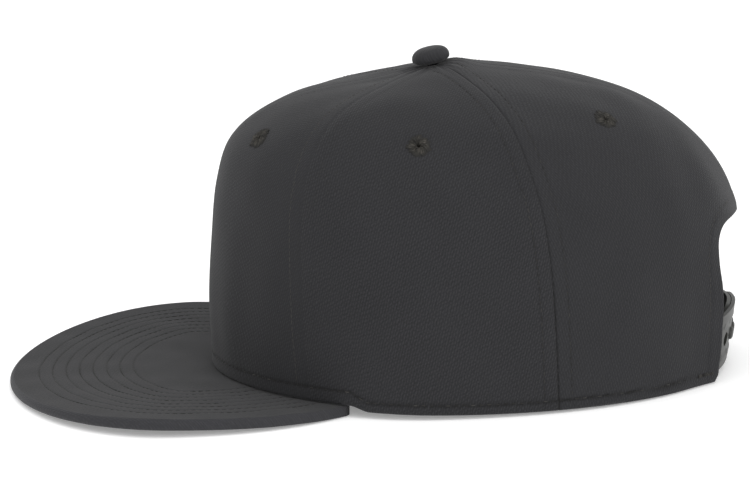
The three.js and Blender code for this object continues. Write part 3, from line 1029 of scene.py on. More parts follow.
@dataclass(frozen=True)
class SewingThread:
    """Spun polyester thread: dark, with lighter strands here and there; its strand tones also carry
    painted highlight and shade.
    """

    name: str
    dark: str = "#161514"
    light: str = "#4c4a47"
    bias: float = 3.0
    roughness: float = 0.75

    def make(self) -> bpy.types.Material:
        """Builds the material, which follows the strands' tones, with their painted highlight and
        shade.

        Returns:
            The material.
        """
        material, tree = new_material(self.name)
        strand_tone_and_painted_light = add(tree, "Attribute", {"attribute_name": "strand_tone_and_painted_light"}, output="Fac")
        share = add(tree, "Math", {"operation": "POWER"}, {0: strand_tone_and_painted_light, 1: self.bias})
        tones = {0: share, 6: linear(self.dark), 7: linear(self.light)}
        colour = add(tree, "Mix", {"data_type": "RGBA"}, tones, 2)
        surface = add(tree, "BsdfPrincipled", inputs={
            "Base Color": colour, "Roughness": self.roughness, "Specular IOR Level": 0.3,
        })
        add(tree, "OutputMaterial", inputs={"Surface": surface})
        return material


@dataclass(frozen=True)
class MouldedPlastic:
    """Moulded polyethylene, a little waxy: a satin surface with a fine mould texture."""

    name: str
    colour: str = "#262723"
    roughness: float = 0.45
    texture: float = 0.35  # mm between the grains of the mould

    def make(self) -> bpy.types.Material:
        """Builds the material.

        Returns:
            The material.
        """
        material, tree = new_material(self.name)
        place = add(tree, "TexCoord", output="Object")
        grains = {"Vector": place, "Scale": 1 / (self.texture * MM), "Detail": 2.0}
        noise = add(tree, "TexNoise", inputs=grains, output="Fac")
        raised = {"Height": noise, "Strength": 0.25, "Distance": 0.03 * MM}
        surface = add(tree, "BsdfPrincipled", inputs={
            "Base Color": linear(self.colour), "Roughness": self.roughness, "IOR": 1.5,
            "Normal": add(tree, "Bump", inputs=raised),
        })
        add(tree, "OutputMaterial", inputs={"Surface": surface})
        return material


@dataclass(frozen=True)
class StitchRow:
    """A row of lockstitch: short bars of thread that dive into the cloth at both ends."""

    pitch: float = 2.7
    filled: float = 0.78
    thread: float = 0.21  # radius
    rise: float = 0.1
    sections: int = 5
    around: int = 6
    wander: float = 0.08
    tones: tuple[float, float] = (0.0, 1.0)

    def shape(self, path: Array, normals: Array, seed: int = 1) -> Shape:
        """The stitches along a path that lies on the cloth.

        Each stitch's middle line is the path lifted by half a sine wave, and its section is
        a circle that narrows to the ends.

        Args:
            path: Points in order.
            normals: The cloth's normals there.
            seed: Picks how each stitch wanders.

        Returns:
            All stitches of the row.
        """
        draw = np.random.default_rng(seed)
        run = lengths_of(path)
        count = max(int(run[-1] / self.pitch), 1)
        pitch = run[-1] / count
        t = np.linspace(0, 1, self.sections)
        s = (np.arange(count)[:, None] + (1 - self.filled) / 2 + self.filled * t) * pitch
        middle = np.stack([np.interp(s, run, path[:, k]) for k in range(3)], -1)
        up = unit(np.stack([np.interp(s, run, normals[:, k]) for k in range(3)], -1))
        ahead = unit(np.gradient(middle, axis=1))
        aside = unit(np.cross(up, ahead))
        shift = draw.normal(0, self.wander, (count, 1, 1))
        sway = shift + draw.normal(0, self.wander, (count, 1, 1)) * (t[None, :, None] - 0.5)
        lift = (self.rise + self.thread) * np.sin(np.pi * t) ** 0.6 - self.thread
        middle = middle + up * lift[None, :, None] + aside * sway
        angle = 2 * np.pi * np.arange(self.around) / self.around
        size = self.thread * (0.55 + 0.45 * np.sin(np.pi * t) ** 0.5)
        ring = aside[:, :, None] * np.cos(angle)[:, None] + up[:, :, None] * np.sin(angle)[:, None]
        points = middle[:, :, None] + ring * size[None, :, None, None]
        each = self.sections * self.around
        starts = (np.arange(count) * each)[:, None, None]
        quads = (tube_quads(self.sections, self.around)[None] + starts).reshape(-1, 4)
        caps = []
        for section, step in ((0, -1), (self.sections - 1, 1)):
            loop = np.arange(self.around)[::step] + section * self.around
            caps += [loop[None, :4], loop[None, [0, 3, 4, 5]]]
        caps = np.concatenate(caps)
        quads = np.concatenate([quads, (caps[None] + starts).reshape(-1, 4)])
        shape = Shape(points.reshape(-1, 3), quads)
        shape.values["strand_tone_and_painted_light"] = np.repeat(draw.uniform(*self.tones, count), each)
        return shape.outward()


@dataclass(frozen=True)
class PanelPlan:
    """One of the crown's panels on the left: its seams, its grain and its eyelet."""

    name: str
    seams: tuple[int, int]
    centre: float  # turn of the middle of the cloth, in degrees
    slant: float  # the wales' turn from upright, in degrees, leaning back when positive
    eyelet_turn: float
    eyelet_level: float
    nap: float  # how clearly the wales show


PANELS = (
    PanelPlan("front", (0, 1), 26.0, 14.0, 21.0, 0.54, 0.5),
    PanelPlan("side", (1, 2), 86.0, 13.0, 85.0, 0.575, 1.0),
    PanelPlan("back", (2, 3), 150.0, -14.0, 153.0, 0.625, 0.7),
)


@dataclass
class Crown:
    """The crown's six panels, sewn together, with their rows of stitches and seam tapes."""

    form: CrownForm
    sewing: Sewing
    columns: int = 92
    rows: int = 130
    arch_rows: int = 84
    upper_rows: int = 54
    hole_radius: float = 2.3
    hole_reach: float = 5.2
    arch_shoulder: float = 0.06
    stitch_top: float = 10.5  # rows of stitches end this far from the axis
    tape_width: float = 11.0
    tape_wall: float = 0.45
    tape_start: float = 35.0
    tape_gap: float = 0.15
    tack_beside: float = 5.0  # from the opening's foot to the middle of the bar tack
    tack_half: float = 4.2
    tack_zigzag: float = 0.9

    def whole_grid(self, plan: PanelPlan) -> tuple[Array, Array]:
        """The grid of a panel between two seams that reach the rim.

        Args:
            plan: The panel.

        Returns:
            Its turns and levels.
        """
        level = (graded(self.rows, 0.25, 0.7) * self.form.top_level)[:, None]
        start = self.form.seam_turn(plan.seams[0], level)
        end = self.form.seam_turn(plan.seams[1], level)
        share = graded(self.columns, 0.35, 0.35)[None]
        return between(start, end, share), level + 0 * share

    def back_rows(self, row: Array) -> tuple[Array, Array, Array, Array]:
        """Where the rows of a back panel start and end.

        Rows run from the side seam to the opening's edge, and above it to the centre seam.

        Args:
            row: 0 to 1 for rows that end on the opening, 1 to 2 for those above it.

        Returns:
            The start's turn and level and the end's turn and level.
        """
        form = self.form
        arch_top = float(form.level_at(math.pi, form.opening_height))
        seam_top = arch_top + self.arch_shoulder
        lower = np.clip(row, 0, 1)
        upper = np.clip(row - 1, 0, 1)
        x, z = form.arch_point(lower)
        end_turn = np.where(lower < 1, form.turn_at(x, z), math.pi)
        end_level = np.where(upper > 0, arch_top + upper * (form.top_level - arch_top),
                             form.level_at(end_turn, z))
        start_level = lower * seam_top + upper * (form.top_level - seam_top)
        return form.seam_turn(2, start_level), start_level, end_turn, end_level

    def back_grid(self) -> tuple[Array, Array]:
        """The grid of a back panel.

        Returns:
            Its turns and levels.
        """
        low = graded(self.arch_rows, 0.3, 1.0, 0.1)
        high = 1 + np.arange(1, self.upper_rows + 1) / self.upper_rows
        start_turn, start_level, end_turn, end_level = (
            v[:, None] for v in self.back_rows(np.concatenate([low, high]))
        )
        share = graded(self.columns, 0.35, 0.3)[None]
        return between(start_turn, end_turn, share), between(start_level, end_level, share)

    def opened(
        self, turn: Array, level: Array, plan: PanelPlan
    ) -> tuple[Array, Array, tuple[int, int]]:
        """Spreads the grid round the eyelet so that one cell becomes its hole.

        Each nearby point moves away from the eyelet, from a distance r to
        R + r (1 - R / reach), where R is the hole's radius.

        Args:
            turn: The grid's turns.
            level: The grid's levels.
            plan: The panel.

        Returns:
            The new turns and levels, and the cell's row and column.
        """
        form = self.form
        spot = form.skin(math.radians(plan.eyelet_turn), plan.eyelet_level)
        skin = form.skin(turn, level)
        cells = (skin[:-1, :-1] + skin[1:, 1:] + skin[:-1, 1:] + skin[1:, :-1]) / 4
        gap = np.linalg.norm(cells - spot, axis=-1)
        cell = np.unravel_index(gap.argmin(), gap.shape)
        around, up = form.slopes(turn, level)
        side = unit(around)
        normal = unit(np.cross(around, up))
        rise = np.cross(normal, side)
        away = skin - cells[cell]
        a = (away * side).sum(-1)
        b = (away * rise).sum(-1)
        r = np.maximum(np.hypot(a, b), TINY)
        apart = np.linalg.norm(away, axis=-1)
        grown = self.hole_radius + r * (1 - self.hole_radius / self.hole_reach)
        push = np.where(apart < self.hole_reach, np.maximum(grown / r - 1, 0), 0)
        return *form.beside(turn, level, push * a, push * b), (int(cell[0]), int(cell[1]))

    def grain(self, turn: Array, level: Array, plan: PanelPlan) -> Array:
        """The cloth's own coordinates in mm: across the wales, along them.

        The panel is laid flat by its level lines: a point's place is its distance from the
        panel's middle line at its level, and that line's length up to the level.

        Args:
            turn: The grid's turns.
            level: The grid's levels.
            plan: The panel.

        Returns:
            The coordinates of each point, the third 0.
        """
        centre = math.radians(plan.centre)
        ladder = np.linspace(0, self.form.top_level, 120)
        climb = lengths_of(self.form.skin(np.full(120, centre), ladder))
        v = np.interp(level, ladder, climb)
        steps = np.linspace(0, 1, 9)
        turns = centre + (turn[..., None] - centre) * steps
        path = self.form.skin(turns, level[..., None] + 0 * steps)
        u = np.linalg.norm(np.diff(path, axis=-2), axis=-1).sum(-1) * np.sign(turn - centre)
        slant = math.radians(plan.slant)
        across = u * math.cos(slant) - v * math.sin(slant)
        along_wale = u * math.sin(slant) + v * math.cos(slant)
        return np.stack([across, along_wale, np.zeros_like(u)], -1)

    def panel(self, plan: PanelPlan, side: Side) -> Shape:
        """A panel as a wall, its outer face sewn and its inner face plain.

        Args:
            plan: The panel.
            side: The side of the cap.

        Returns:
            The wall.
        """
        turn, level = self.back_grid() if plan.name == "back" else self.whole_grid(plan)
        turn, level, hole = self.opened(turn, level, plan)
        grain = self.grain(turn, level, plan)
        turn = turn * side.value
        m = self.sewing.measures(turn, level)
        normal = self.form.normal(turn, level)
        outer = m["skin"] + normal * self.sewing.relief(m)[..., None]
        inner = m["skin"] - normal * self.form.wall
        made = shell(outer, inner, hole)
        # Painted shade in the seams and along the stitches of the outer face, none on the inner
        # face.
        dark = self.sewing.painted_shade(m).ravel()
        made.dress(grain, plan.nap, np.concatenate([dark, 0 * dark]))
        return made if side is Side.LEFT else made.flipped()

    def seam_path(self, seam: int, offset: float) -> tuple[Array, Array]:
        """The turns and levels of a row of stitches beside a left seam.

        The turn moves away from the seam's in a few steps, each by the share that the
        distance still differs from the offset.

        Args:
            seam: The seam's number from the front.
            offset: How far behind the seam the row lies, in mm, negative in front of it.

        Returns:
            Turns and levels from the hem up to the button.
        """
        form = self.form
        levels = np.linspace(0, form.top_level, 240)
        turns = form.seam_turn(seam, levels)
        curve = self.sewing.curves[f"seam{seam}"]
        pace = np.linalg.norm(form.slopes(turns, levels)[0], axis=-1)
        shift = offset / np.maximum(pace, 1)
        for _ in range(5):
            gap, _ = distance_to(form.skin(turns + shift, levels), curve)
            shift = shift * np.clip(abs(offset) / np.maximum(gap, 0.5), 0.6, 1.6)
        turns = turns + shift
        skin = form.skin(turns, levels)
        m = self.sewing.measures(turns, levels)
        keep = (m["hem"] > 0.6) & (np.hypot(skin[:, 0], skin[:, 1]) > self.stitch_top)
        keep &= np.abs(shift) < 1.0  # radians, past which the row would round the button
        keep &= m["seams"].min(0) > self.sewing.allowance - 0.4
        if seam == 3:
            keep &= skin[:, 2] > form.opening_height + self.sewing.arch_hem
        return turns[keep], levels[keep]

    def hem_path(self) -> tuple[Array, Array]:
        """The path of the hem's stitches, from one foot of the opening to the other.

        Returns:
            Its turns and levels.
        """
        form = self.form
        end = float(form.turn_at(form.opening_half_width + 1.2, 6.0))
        turns = np.linspace(-end, end, 700)
        height = form.rim_height(turns) + self.sewing.hem_height(turns)
        return turns, form.level_at(turns, height)

    def arch_path(self, inset: float) -> tuple[Array, Array]:
        """The path of a row of stitches that follows the opening's left edge.

        Args:
            inset: How far from the edge it lies.

        Returns:
            Its turns and levels.
        """
        form = self.form
        x, z = form.arch_point(np.linspace(0.05, 1, 160))
        turn = form.turn_at(x, z)
        level = form.level_at(turn, z)
        around, up = form.slopes(turn, level)
        side, normal = unit(around), unit(np.cross(around, up))
        away = unit(np.cross(unit(np.gradient(form.skin(turn, level), axis=0)), normal))
        away = away * np.sign((away * [1, 0, 1]).sum(-1, keepdims=True))
        a = inset * (away * side).sum(-1)
        b = inset * (away * np.cross(normal, side)).sum(-1)
        return form.beside(turn, level, a, b)

    def sewn(self, row: StitchRow, turn: Array, level: Array, side: Side, seed: int) -> Shape:
        """A row of stitches on one side of the crown.

        Args:
            row: The kind of row.
            turn: The turns of its path on the left.
            level: The levels of its path.
            side: The side that it is on.
            seed: Picks how each stitch wanders.

        Returns:
            The stitches.
        """
        turn = turn * side.value
        return row.shape(self.sewing.cloth(turn, level), self.form.normal(turn, level), seed)

    def stitches(self) -> dict[str, Shape]:
        """All rows of stitches on the crown's outside.

        Returns:
            The rows by the name of their piece.
        """
        crisp = StitchRow(thread=0.17, rise=0.02, tones=(0.3, 0.75))
        soft = StitchRow(thread=0.14, rise=-0.1, tones=(0.5, 0.7))
        # The row named light is painted lighter: a painted highlight along the ridge in front of
        # the front/side seam; the rows round the opening use it too.
        light = StitchRow(pitch=2.4, filled=0.94, thread=0.15, rise=0.03, tones=(0.72, 0.82))
        seams, hems, arch = [], [], []
        for number, (seam, way) in enumerate(((0, 1), (1, -1), (1, 1), (2, -1), (2, 1), (3, -1))):
            turn, level = self.seam_path(seam, way * self.sewing.allowance)
            row = crisp if seam == 2 else light if (seam, way) == (1, -1) else soft
            for side in Side:
                seed = 20 + 2 * number + (side is Side.LEFT)
                seams.append(self.sewn(row, turn, level, side, seed))
        turn, level = self.hem_path()
        hem_row = StitchRow(pitch=3.1, filled=0.72, thread=0.22, tones=(0.0, 0.8))
        hems.append(self.sewn(hem_row, turn, level, Side.LEFT, 5))
        turn, level = self.arch_path(self.sewing.arch_hem)
        for side in Side:
            arch.append(self.sewn(light, turn, level, side, 9))
            hems.append(self.bar_tack(side))
        return {
            "seam_stitches": joined(seams),
            "hem_stitches": joined(hems),
            "opening_stitches": joined(arch),
        }

    def bar_tack(self, side: Side) -> Shape:
        """The zigzag of thread that locks the hem at a foot of the opening.

        Args:
            side: The side of the cap.

        Returns:
            The stitches.
        """
        form = self.form
        turn = float(form.turn_at(form.opening_half_width + self.tack_beside, 5.0))
        level = float(form.level_at(turn, form.back_rim_lift + self.sewing.hem))
        count = 15
        a = np.linspace(-self.tack_half, self.tack_half, count)
        b = self.tack_zigzag * np.where(np.arange(count) % 2, 1, -1)
        turns, levels = form.beside(np.full(count, turn), np.full(count, level), a, b)
        row = StitchRow(pitch=1.8, filled=0.98, thread=0.2, rise=0.25)
        return self.sewn(row, turns, levels, side, 33)

    def tape(self, seam: int) -> Shape:
        """The tape that covers a seam inside the crown: a flat strip under the cloth.

        Args:
            seam: The seam's number from the front.

        Returns:
            The strip.
        """
        form = self.form
        levels = np.linspace(0, form.top_level, 90)
        turns = form.seam_turn(seam, levels)
        skin = form.skin(turns, levels)
        start = self.tape_start if seam < 3 else form.opening_height + 11
        keep = (skin[:, 2] > start) & (np.hypot(skin[:, 0], skin[:, 1]) > 3)
        levels = levels[keep]
        turns = turns[keep]
        share = np.linspace(-0.5, 0.5, 7)[None]
        pace = np.maximum(np.linalg.norm(form.slopes(turns, levels)[0], axis=-1), 6)
        turn = turns[:, None] + share * self.tape_width / pace[:, None]
        level = levels[:, None] + 0 * share
        depth = form.wall + self.tape_gap
        made = form.lining(turn, level, np.array(depth), np.array(self.tape_wall))
        run = lengths_of(form.skin(turns, levels))
        flat = 0 * turn
        grain = np.stack([share * self.tape_width + flat, run[:, None] + flat, flat], -1)
        return made.dress(grain)

    def build(self, cloth: bpy.types.Material, thread: bpy.types.Material,
              tape: bpy.types.Material) -> None:
        """Makes the panels, their stitches and the tapes inside.

        Args:
            cloth: The panels' finish.
            thread: The stitches' finish.
            tape: The tapes' finish.
        """
        for plan in PANELS:
            for side in Side:
                name = f"{plan.name}_panel_{side.name.lower()}"
                put(f"cloth_{name}", self.panel(plan, side), cloth, (name,))
        for name, shape in self.stitches().items():
            put(name, shape, thread)
        strips = [self.tape(0), self.tape(3)]
        for seam in (1, 2):
            strip = self.tape(seam)
            strips += [strip, strip.mirrored()]
        put("seam_tapes", joined(strips), tape)


@dataclass
class Eyelet:
    """A satin-stitched eyelet: a low ring of strands that turn down into its hole."""

    form: CrownForm
    sewing: Sewing
    radius: float = 5.0
    hole: float = 0.35
    rise: float = 0.55
    strands: int = 30
    each: int = 7
    steps: int = 18
    ragged: float = 0.8
    uneven: float = 0.13
    outer_depth: float = 0.3  # how far the outer edge is sunk in the cloth
    hole_depth: float = 2.4
    core_depth: float = 1.0

    def shape(self, plan: PanelPlan, side: Side) -> Shape:
        """The ring: a half-round section carried round the hole over the cloth.

        Its height is a half sine from the outer edge to the hole with a ridge for each
        strand, |sin| round the ring, and the strands differ in length and height.

        Args:
            plan: The panel that it is in.
            side: The side of the cap.

        Returns:
            The ring.
        """
        draw = np.random.default_rng(11 + 2 * len(plan.name) + side.value)
        around = self.strands * self.each
        angle = 2 * np.pi * np.arange(around) / around
        number = np.arange(around) // self.each
        within = (np.arange(around) % self.each + 0.5) / self.each
        edge = self.radius + draw.uniform(-self.ragged, 0.5 * self.ragged, self.strands)[number]
        share = np.linspace(0, 1, self.steps)[:, None]
        radius = edge + (self.hole - edge) * share**0.9
        ridge = np.sin(np.pi * within) ** 0.8
        lobe = draw.uniform(0.75, 1.25, self.strands)[number]
        height = self.rise * lobe * np.sin(np.pi * (0.06 + 0.86 * share)) ** 0.55
        height = height * (0.55 + 0.45 * ridge)
        height = np.where(share == 0, -self.outer_depth, height)
        height = height - self.hole_depth * smooth_step(0.86, 1.0, share)
        uneven = np.sin(5 * angle + 9 * share) + np.sin(9 * angle - 14 * share + 1)
        height = height + self.uneven * uneven * np.sin(np.pi * share)
        swirl = angle + 0.5 * share**2 + 0.1 * np.sin(3 * angle + 7 * share)
        a = radius * np.cos(swirl)
        b = radius * np.sin(swirl)
        rings_a = np.concatenate([0.92 * a[:1], a, a[-1:]])
        rings_b = np.concatenate([0.92 * b[:1], b, b[-1:]])
        deep = np.full((1, around), -self.core_depth)
        height = np.concatenate([deep, height, deep - self.form.wall])
        turn = np.full(rings_a.shape, side.value * math.radians(plan.eyelet_turn))
        level = np.full(rings_a.shape, plan.eyelet_level)
        turn, level = self.form.beside(turn, level, rings_a, rings_b)
        normal = self.form.normal(turn, level)
        points = self.sewing.cloth(turn, level) + height[..., None] * normal
        count = len(rings_a)
        index = np.arange(count * around).reshape(count, around)
        ends = np.stack([index[-1], np.roll(index[-1], -1), np.roll(index[0], -1), index[0]], -1)
        made = Shape(points.reshape(-1, 3), np.concatenate([tube_quads(count, around), ends]))
        inward = np.concatenate([share[:1], share, share[-1:]])
        # Each strand has its own tone, painted lighter on its ridge and darker between strands as
        # painted highlight and shade, and painted shade darkens the ring's outer edge.
        tone = draw.uniform(0, 1, self.strands)[number] * (0.35 + 0.65 * ridge)
        tone = tone * smooth_step(0.1, 0.35, inward)
        tone = tone * (0.75 + 0.25 * np.sin(7 * angle + 11 * inward))
        made.values["strand_tone_and_painted_light"] = tone.ravel()
        return made.outward()

    def build(self, thread: bpy.types.Material) -> None:
        """Makes the six eyelets.

        Args:
            thread: Their finish.
        """
        for plan in PANELS:
            for side in Side:
                node = f"eyelet_{plan.name}_{side.name.lower()}"
                put(f"embroidered_{node}", self.shape(plan, side), thread, (node,))


@dataclass
class TopButton:
    """The button: a dome covered in twill, gathered a little round its edge."""

    form: CrownForm
    radius: float = 7.4
    height: float = 6.2
    edge: float = 2.3
    tilt_degrees: float = 12.0
    fullness: float = 0.58
    around: int = 96
    steps: int = 26
    pleats: int = 11
    pleat: float = 0.1
    seat: float = 0.3  # how far its underside stands off the crown
    nap: float = 0.3
    wale_degrees: float = 60.0

    def shape(self) -> Shape:
        """A profile spun round: flat under, a rounded edge and a dome above it.

        Returns:
            The button.
        """
        apex = self.form.skin(np.array(0.0), np.array(1.0))
        angle = 2 * np.pi * np.arange(self.around) / self.around
        t = np.linspace(-0.35, 0.985, self.steps)[:, None] * np.pi / 2
        radius = self.radius * np.cos(t) ** self.fullness
        radius = np.where(t < 0, self.radius * np.cos(t * 1.9) ** 0.5, radius)
        rise = self.edge + (self.height - self.edge) * np.sin(np.maximum(t, 0)) ** 1.05
        z = np.where(t < 0, self.edge * (1 + np.sin(t * 1.9)) * 0.9, rise)
        fold = self.pleat * np.sin(self.pleats * angle + np.sin(2 * angle))
        radius = radius + fold * smooth_step(1.1, -0.2, t)
        x = radius * np.cos(angle)
        y = radius * np.sin(angle)
        points = np.stack([x, y, z + 0 * x], -1)
        low = np.array([[0, 0, float(z.min())]])
        top = np.array([[0, 0, self.height]])
        local = np.concatenate([points.reshape(-1, 3), low, top])
        lx, ly, lz = local.T
        c = math.cos(math.radians(self.wale_degrees))
        s = math.sin(math.radians(self.wale_degrees))
        grain = np.stack([c * lx + s * ly + 0.4 * lz, c * ly - s * lx, 0 * lx], -1)
        turn = Matrix.Rotation(math.radians(self.tilt_degrees), 3, "X")
        lift = self.seat + (self.radius - self.edge) * math.sin(math.radians(self.tilt_degrees)) / 2
        placed = local @ np.array(turn).T + [0, 0, apex[2] + lift]
        rings = np.arange(self.steps * self.around).reshape(self.steps, self.around)
        tris = np.concatenate([fan(rings.size, rings[0])[:, ::-1], fan(rings.size + 1, rings[-1])])
        made = Shape(placed, tube_quads(self.steps, self.around), tris)
        # Painted shade: the button's underside and the middle point under it are painted dark, for
        # the shade beneath the button.
        painted_underside_shade = smooth_step(-0.2, -0.5, t) + 0 * x
        return made.dress(grain, self.nap, np.concatenate([painted_underside_shade.ravel(), [1, 0]])).outward()

    def build(self, cloth: bpy.types.Material) -> None:
        """Makes the button."""
        put("covered_top_button", self.shape(), cloth, ("top_button",))


@dataclass
class Visor:
    """The visor: a board in twill, sewn through in rows that follow its edge."""

    form: CrownForm
    widest_ahead: float = 98.0
    back_length: float = 92.0
    tip_power: float = 1.92
    back_power: float = 2.2
    thickness: float = 3.5
    side_growth: float = 0.9
    # how much fainter the rows' painted shade gets on the +x side
    flat_share_and_row_shade_fade: float = 0.6
    edge_round: float = 1.65
    inset: float = 4.0
    first_row: float = 11.4
    row_pitch: float = 5.3
    row_count: int = 8
    row_dip: float = 0.1
    row_width: float = 0.6
    slant_degrees: float = 52.0  # the wales' turn from straight ahead
    edge_shift: float = 3.0  # how far the pattern moves on round the edge
    nap: float = 0.8  # how clearly the wales show
    row_shade_fade_from: tuple[float, float] = (5.0, 60.0)  # x between which the rows' painted shade gets fainter
    unevenness: float = 0.12
    wave: float = 34.0
    wave_seed: int = 5
    around: int = 230
    top_steps: int = 190
    under_steps: int = 90

    def outline(self, u: Array) -> Array:
        """The visor's edge in plan: two superellipses that meet at the widest line.

        Args:
            u: From the right end (0) to the left one (1).

        Returns:
            x and the way ahead.
        """
        share = (self.widest_ahead - self.form.visor_end_ahead) / self.back_length
        end = math.pi / 2 + math.asin(share ** (self.back_power / 2))
        angle = (2 * u - 1) * end
        c, s = np.cos(angle), np.sin(angle)
        forward = c > 0
        power = np.where(forward, self.tip_power, self.back_power)
        tip = self.form.front_reach + self.form.visor_reach - self.widest_ahead
        length = np.where(forward, tip, self.back_length)
        x = self.form.visor_half_width * np.sign(s) * np.abs(s) ** (2 / power)
        return np.stack([x, self.widest_ahead + length * np.sign(c) * np.abs(c) ** (2 / power)], -1)

    def thick(self, x: Array) -> Array:
        """The board's thickness, which grows with the square of x."""
        return self.thickness + self.side_growth * (x / self.form.visor_half_width) ** 2

    def seat(self, u: Array) -> Array:
        """The board's inner edge in plan, a little inside the crown's rim.

        Args:
            u: From the right end (0) to the left one (1).

        Returns:
            x and the way ahead.
        """
        turn = (2 * u - 1) * self.form.visor_end_turn()
        radius = self.form.radius(turn, np.zeros_like(turn)) - self.inset
        return np.stack([radius * np.sin(turn), radius * np.cos(turn)], -1)

    def rows_dip(self, distance: Array) -> tuple[Array, Array]:
        """The rows of stitches, seen from the board.

        Args:
            distance: From the edge.

        Returns:
            How deep the board sinks, and how near a row is, 0 to 1, for the painted shade along the
            rows.
        """
        place = (distance - self.first_row) / self.row_pitch
        number = np.clip(np.round(place), 0, self.row_count - 1)
        gap = (place - number) * self.row_pitch
        return self.row_dip * bell(gap, self.row_width), bell(gap, 0.4)

    def shape(self) -> Shape:
        """The board's section carried round from end to end.

        The section runs over the top to the edge, round it, down its side,
        and back along the underside. The top and the underside sink at each row.

        Returns:
            The board in its cloth.
        """
        u = np.linspace(0, 1, self.around)
        outer = self.outline(u)
        inner = self.seat(u)
        span = np.linalg.norm(outer - inner, axis=1)[:, None]
        fold = self.edge_round
        top = fold + (span - fold) * (1 - graded(self.top_steps, 1.0, 0.3, 0.04))[None]
        arc = np.pi / 2 * np.linspace(0, 1, 9)[None, 1:]
        edge_in = fold * (1 - np.sin(arc))
        edge_drop = fold * (1 - np.cos(arc))
        under = fold + (span - fold) * graded(self.under_steps, 0.3, 1.0, 0.06)[None]
        one = np.ones_like(span)
        turned_in = edge_in * one
        turned_down = edge_drop / self.thickness * one
        inward = np.concatenate([top, turned_in, 0 * one, turned_in[:, ::-1], under], 1)
        share = np.concatenate(
            [0 * top, turned_down, 0.5 * one, 1 - turned_down[:, ::-1], 1 + 0 * under], 1
        )
        way = (inner - outer) / span
        plan = outer[:, None] + way[:, None] * inward[..., None]
        on_face = np.where((share == 0) | (share == 1), 1.0, 0.0)
        gap, _ = distance_to(plan, self.outline(np.linspace(0, 1, 900)))
        dip, near = self.rows_dip(gap)
        z = self.form.visor_top(plan[..., 0], plan[..., 1]) - share * self.thick(plan[..., 0])
        z = z + on_face * np.where(share > 0.5, 1, -1) * dip
        flat = np.stack([plan[..., 0], plan[..., 1], 0 * z], -1)
        z = z + on_face * self.unevenness * ripple(flat, self.wave, self.wave_seed)
        points = np.stack([plan[..., 0], -plan[..., 1], z], -1)
        count = points.shape[1]
        index = np.arange(points.size // 3).reshape(-1, count)
        ring = np.concatenate([index, index[:, :1]], 1)
        ends = []
        for loop in (index[0][::-1], index[-1]):
            ends.append(ladder_quads(loop))
        quads = np.concatenate([grid_quads(ring), *ends])
        made = Shape(points.reshape(-1, 3), quads)
        slant = math.radians(self.slant_degrees)
        across = plan[..., 0] * math.cos(slant) + plan[..., 1] * math.sin(slant)
        along_wale = -plan[..., 0] * math.sin(slant) + plan[..., 1] * math.cos(slant)
        across = across + share * self.edge_shift
        grain = np.stack([across, along_wale, 0 * across], -1)
        # Painted shade along the rows on the top and the underside, made fainter on the +x side for
        # the way the light falls there.
        flat_share_and_row_shade_fade = 1 - self.flat_share_and_row_shade_fade * smooth_step(*self.row_shade_fade_from, plan[..., 0])
        made.dress(grain, self.nap, (near * on_face * flat_share_and_row_shade_fade).ravel())
        # Painted light: the rounded edge and the side wall, off the top and the underside, are
        # painted lighter for the light that falls on them.
        made.values["painted_edge_light"] = (1 - on_face).ravel()
        return made.outward()

    def stitches(self) -> Shape:
        """The rows of stitches on the top and the underside.

        Returns:
            The stitches.
        """
        u = np.linspace(0.0, 1.0, 700)
        edge = self.outline(u)
        ahead = unit(np.gradient(edge, axis=0))
        inward = np.stack([ahead[:, 1], -ahead[:, 0]], -1)
        inward *= np.sign(((self.seat(u) - edge) * inward).sum(1).mean())
        row = StitchRow(2.9, filled=0.84, thread=0.15, rise=0.0, wander=0.04, tones=(0.2, 0.7))
        made = []
        for number in range(self.row_count):
            plan = edge + inward * (self.first_row + number * self.row_pitch)
            turn = np.arctan2(plan[:, 0], plan[:, 1])
            rim = self.form.radius(turn, np.zeros_like(turn))
            keep = np.hypot(plan[:, 0], plan[:, 1]) > rim + 0.4
            keep &= plan[:, 1] > self.form.visor_end_ahead
            keep &= np.abs(turn) < self.form.visor_end_turn() + 0.25
            first, last = np.flatnonzero(keep)[[0, -1]]
            plan = plan[first : last + 1]
            top = self.form.visor_top(plan[:, 0], plan[:, 1])
            for face in (1, -1):
                under = top - self.thick(plan[:, 0]) + self.row_dip
                z = top - self.row_dip if face > 0 else under
                path = np.stack([plan[:, 0], -plan[:, 1], z], -1)
                made.append(row.shape(path, np.tile([0.0, 0, face], (len(path), 1)), 60 + number))
        return joined(made)

    def build(self, cloth: bpy.types.Material, thread: bpy.types.Material) -> None:
        """Makes the visor and its rows of stitches."""
        put("cloth_visor", self.shape(), cloth, ("visor",))
        put("visor_stitches", self.stitches(), thread)


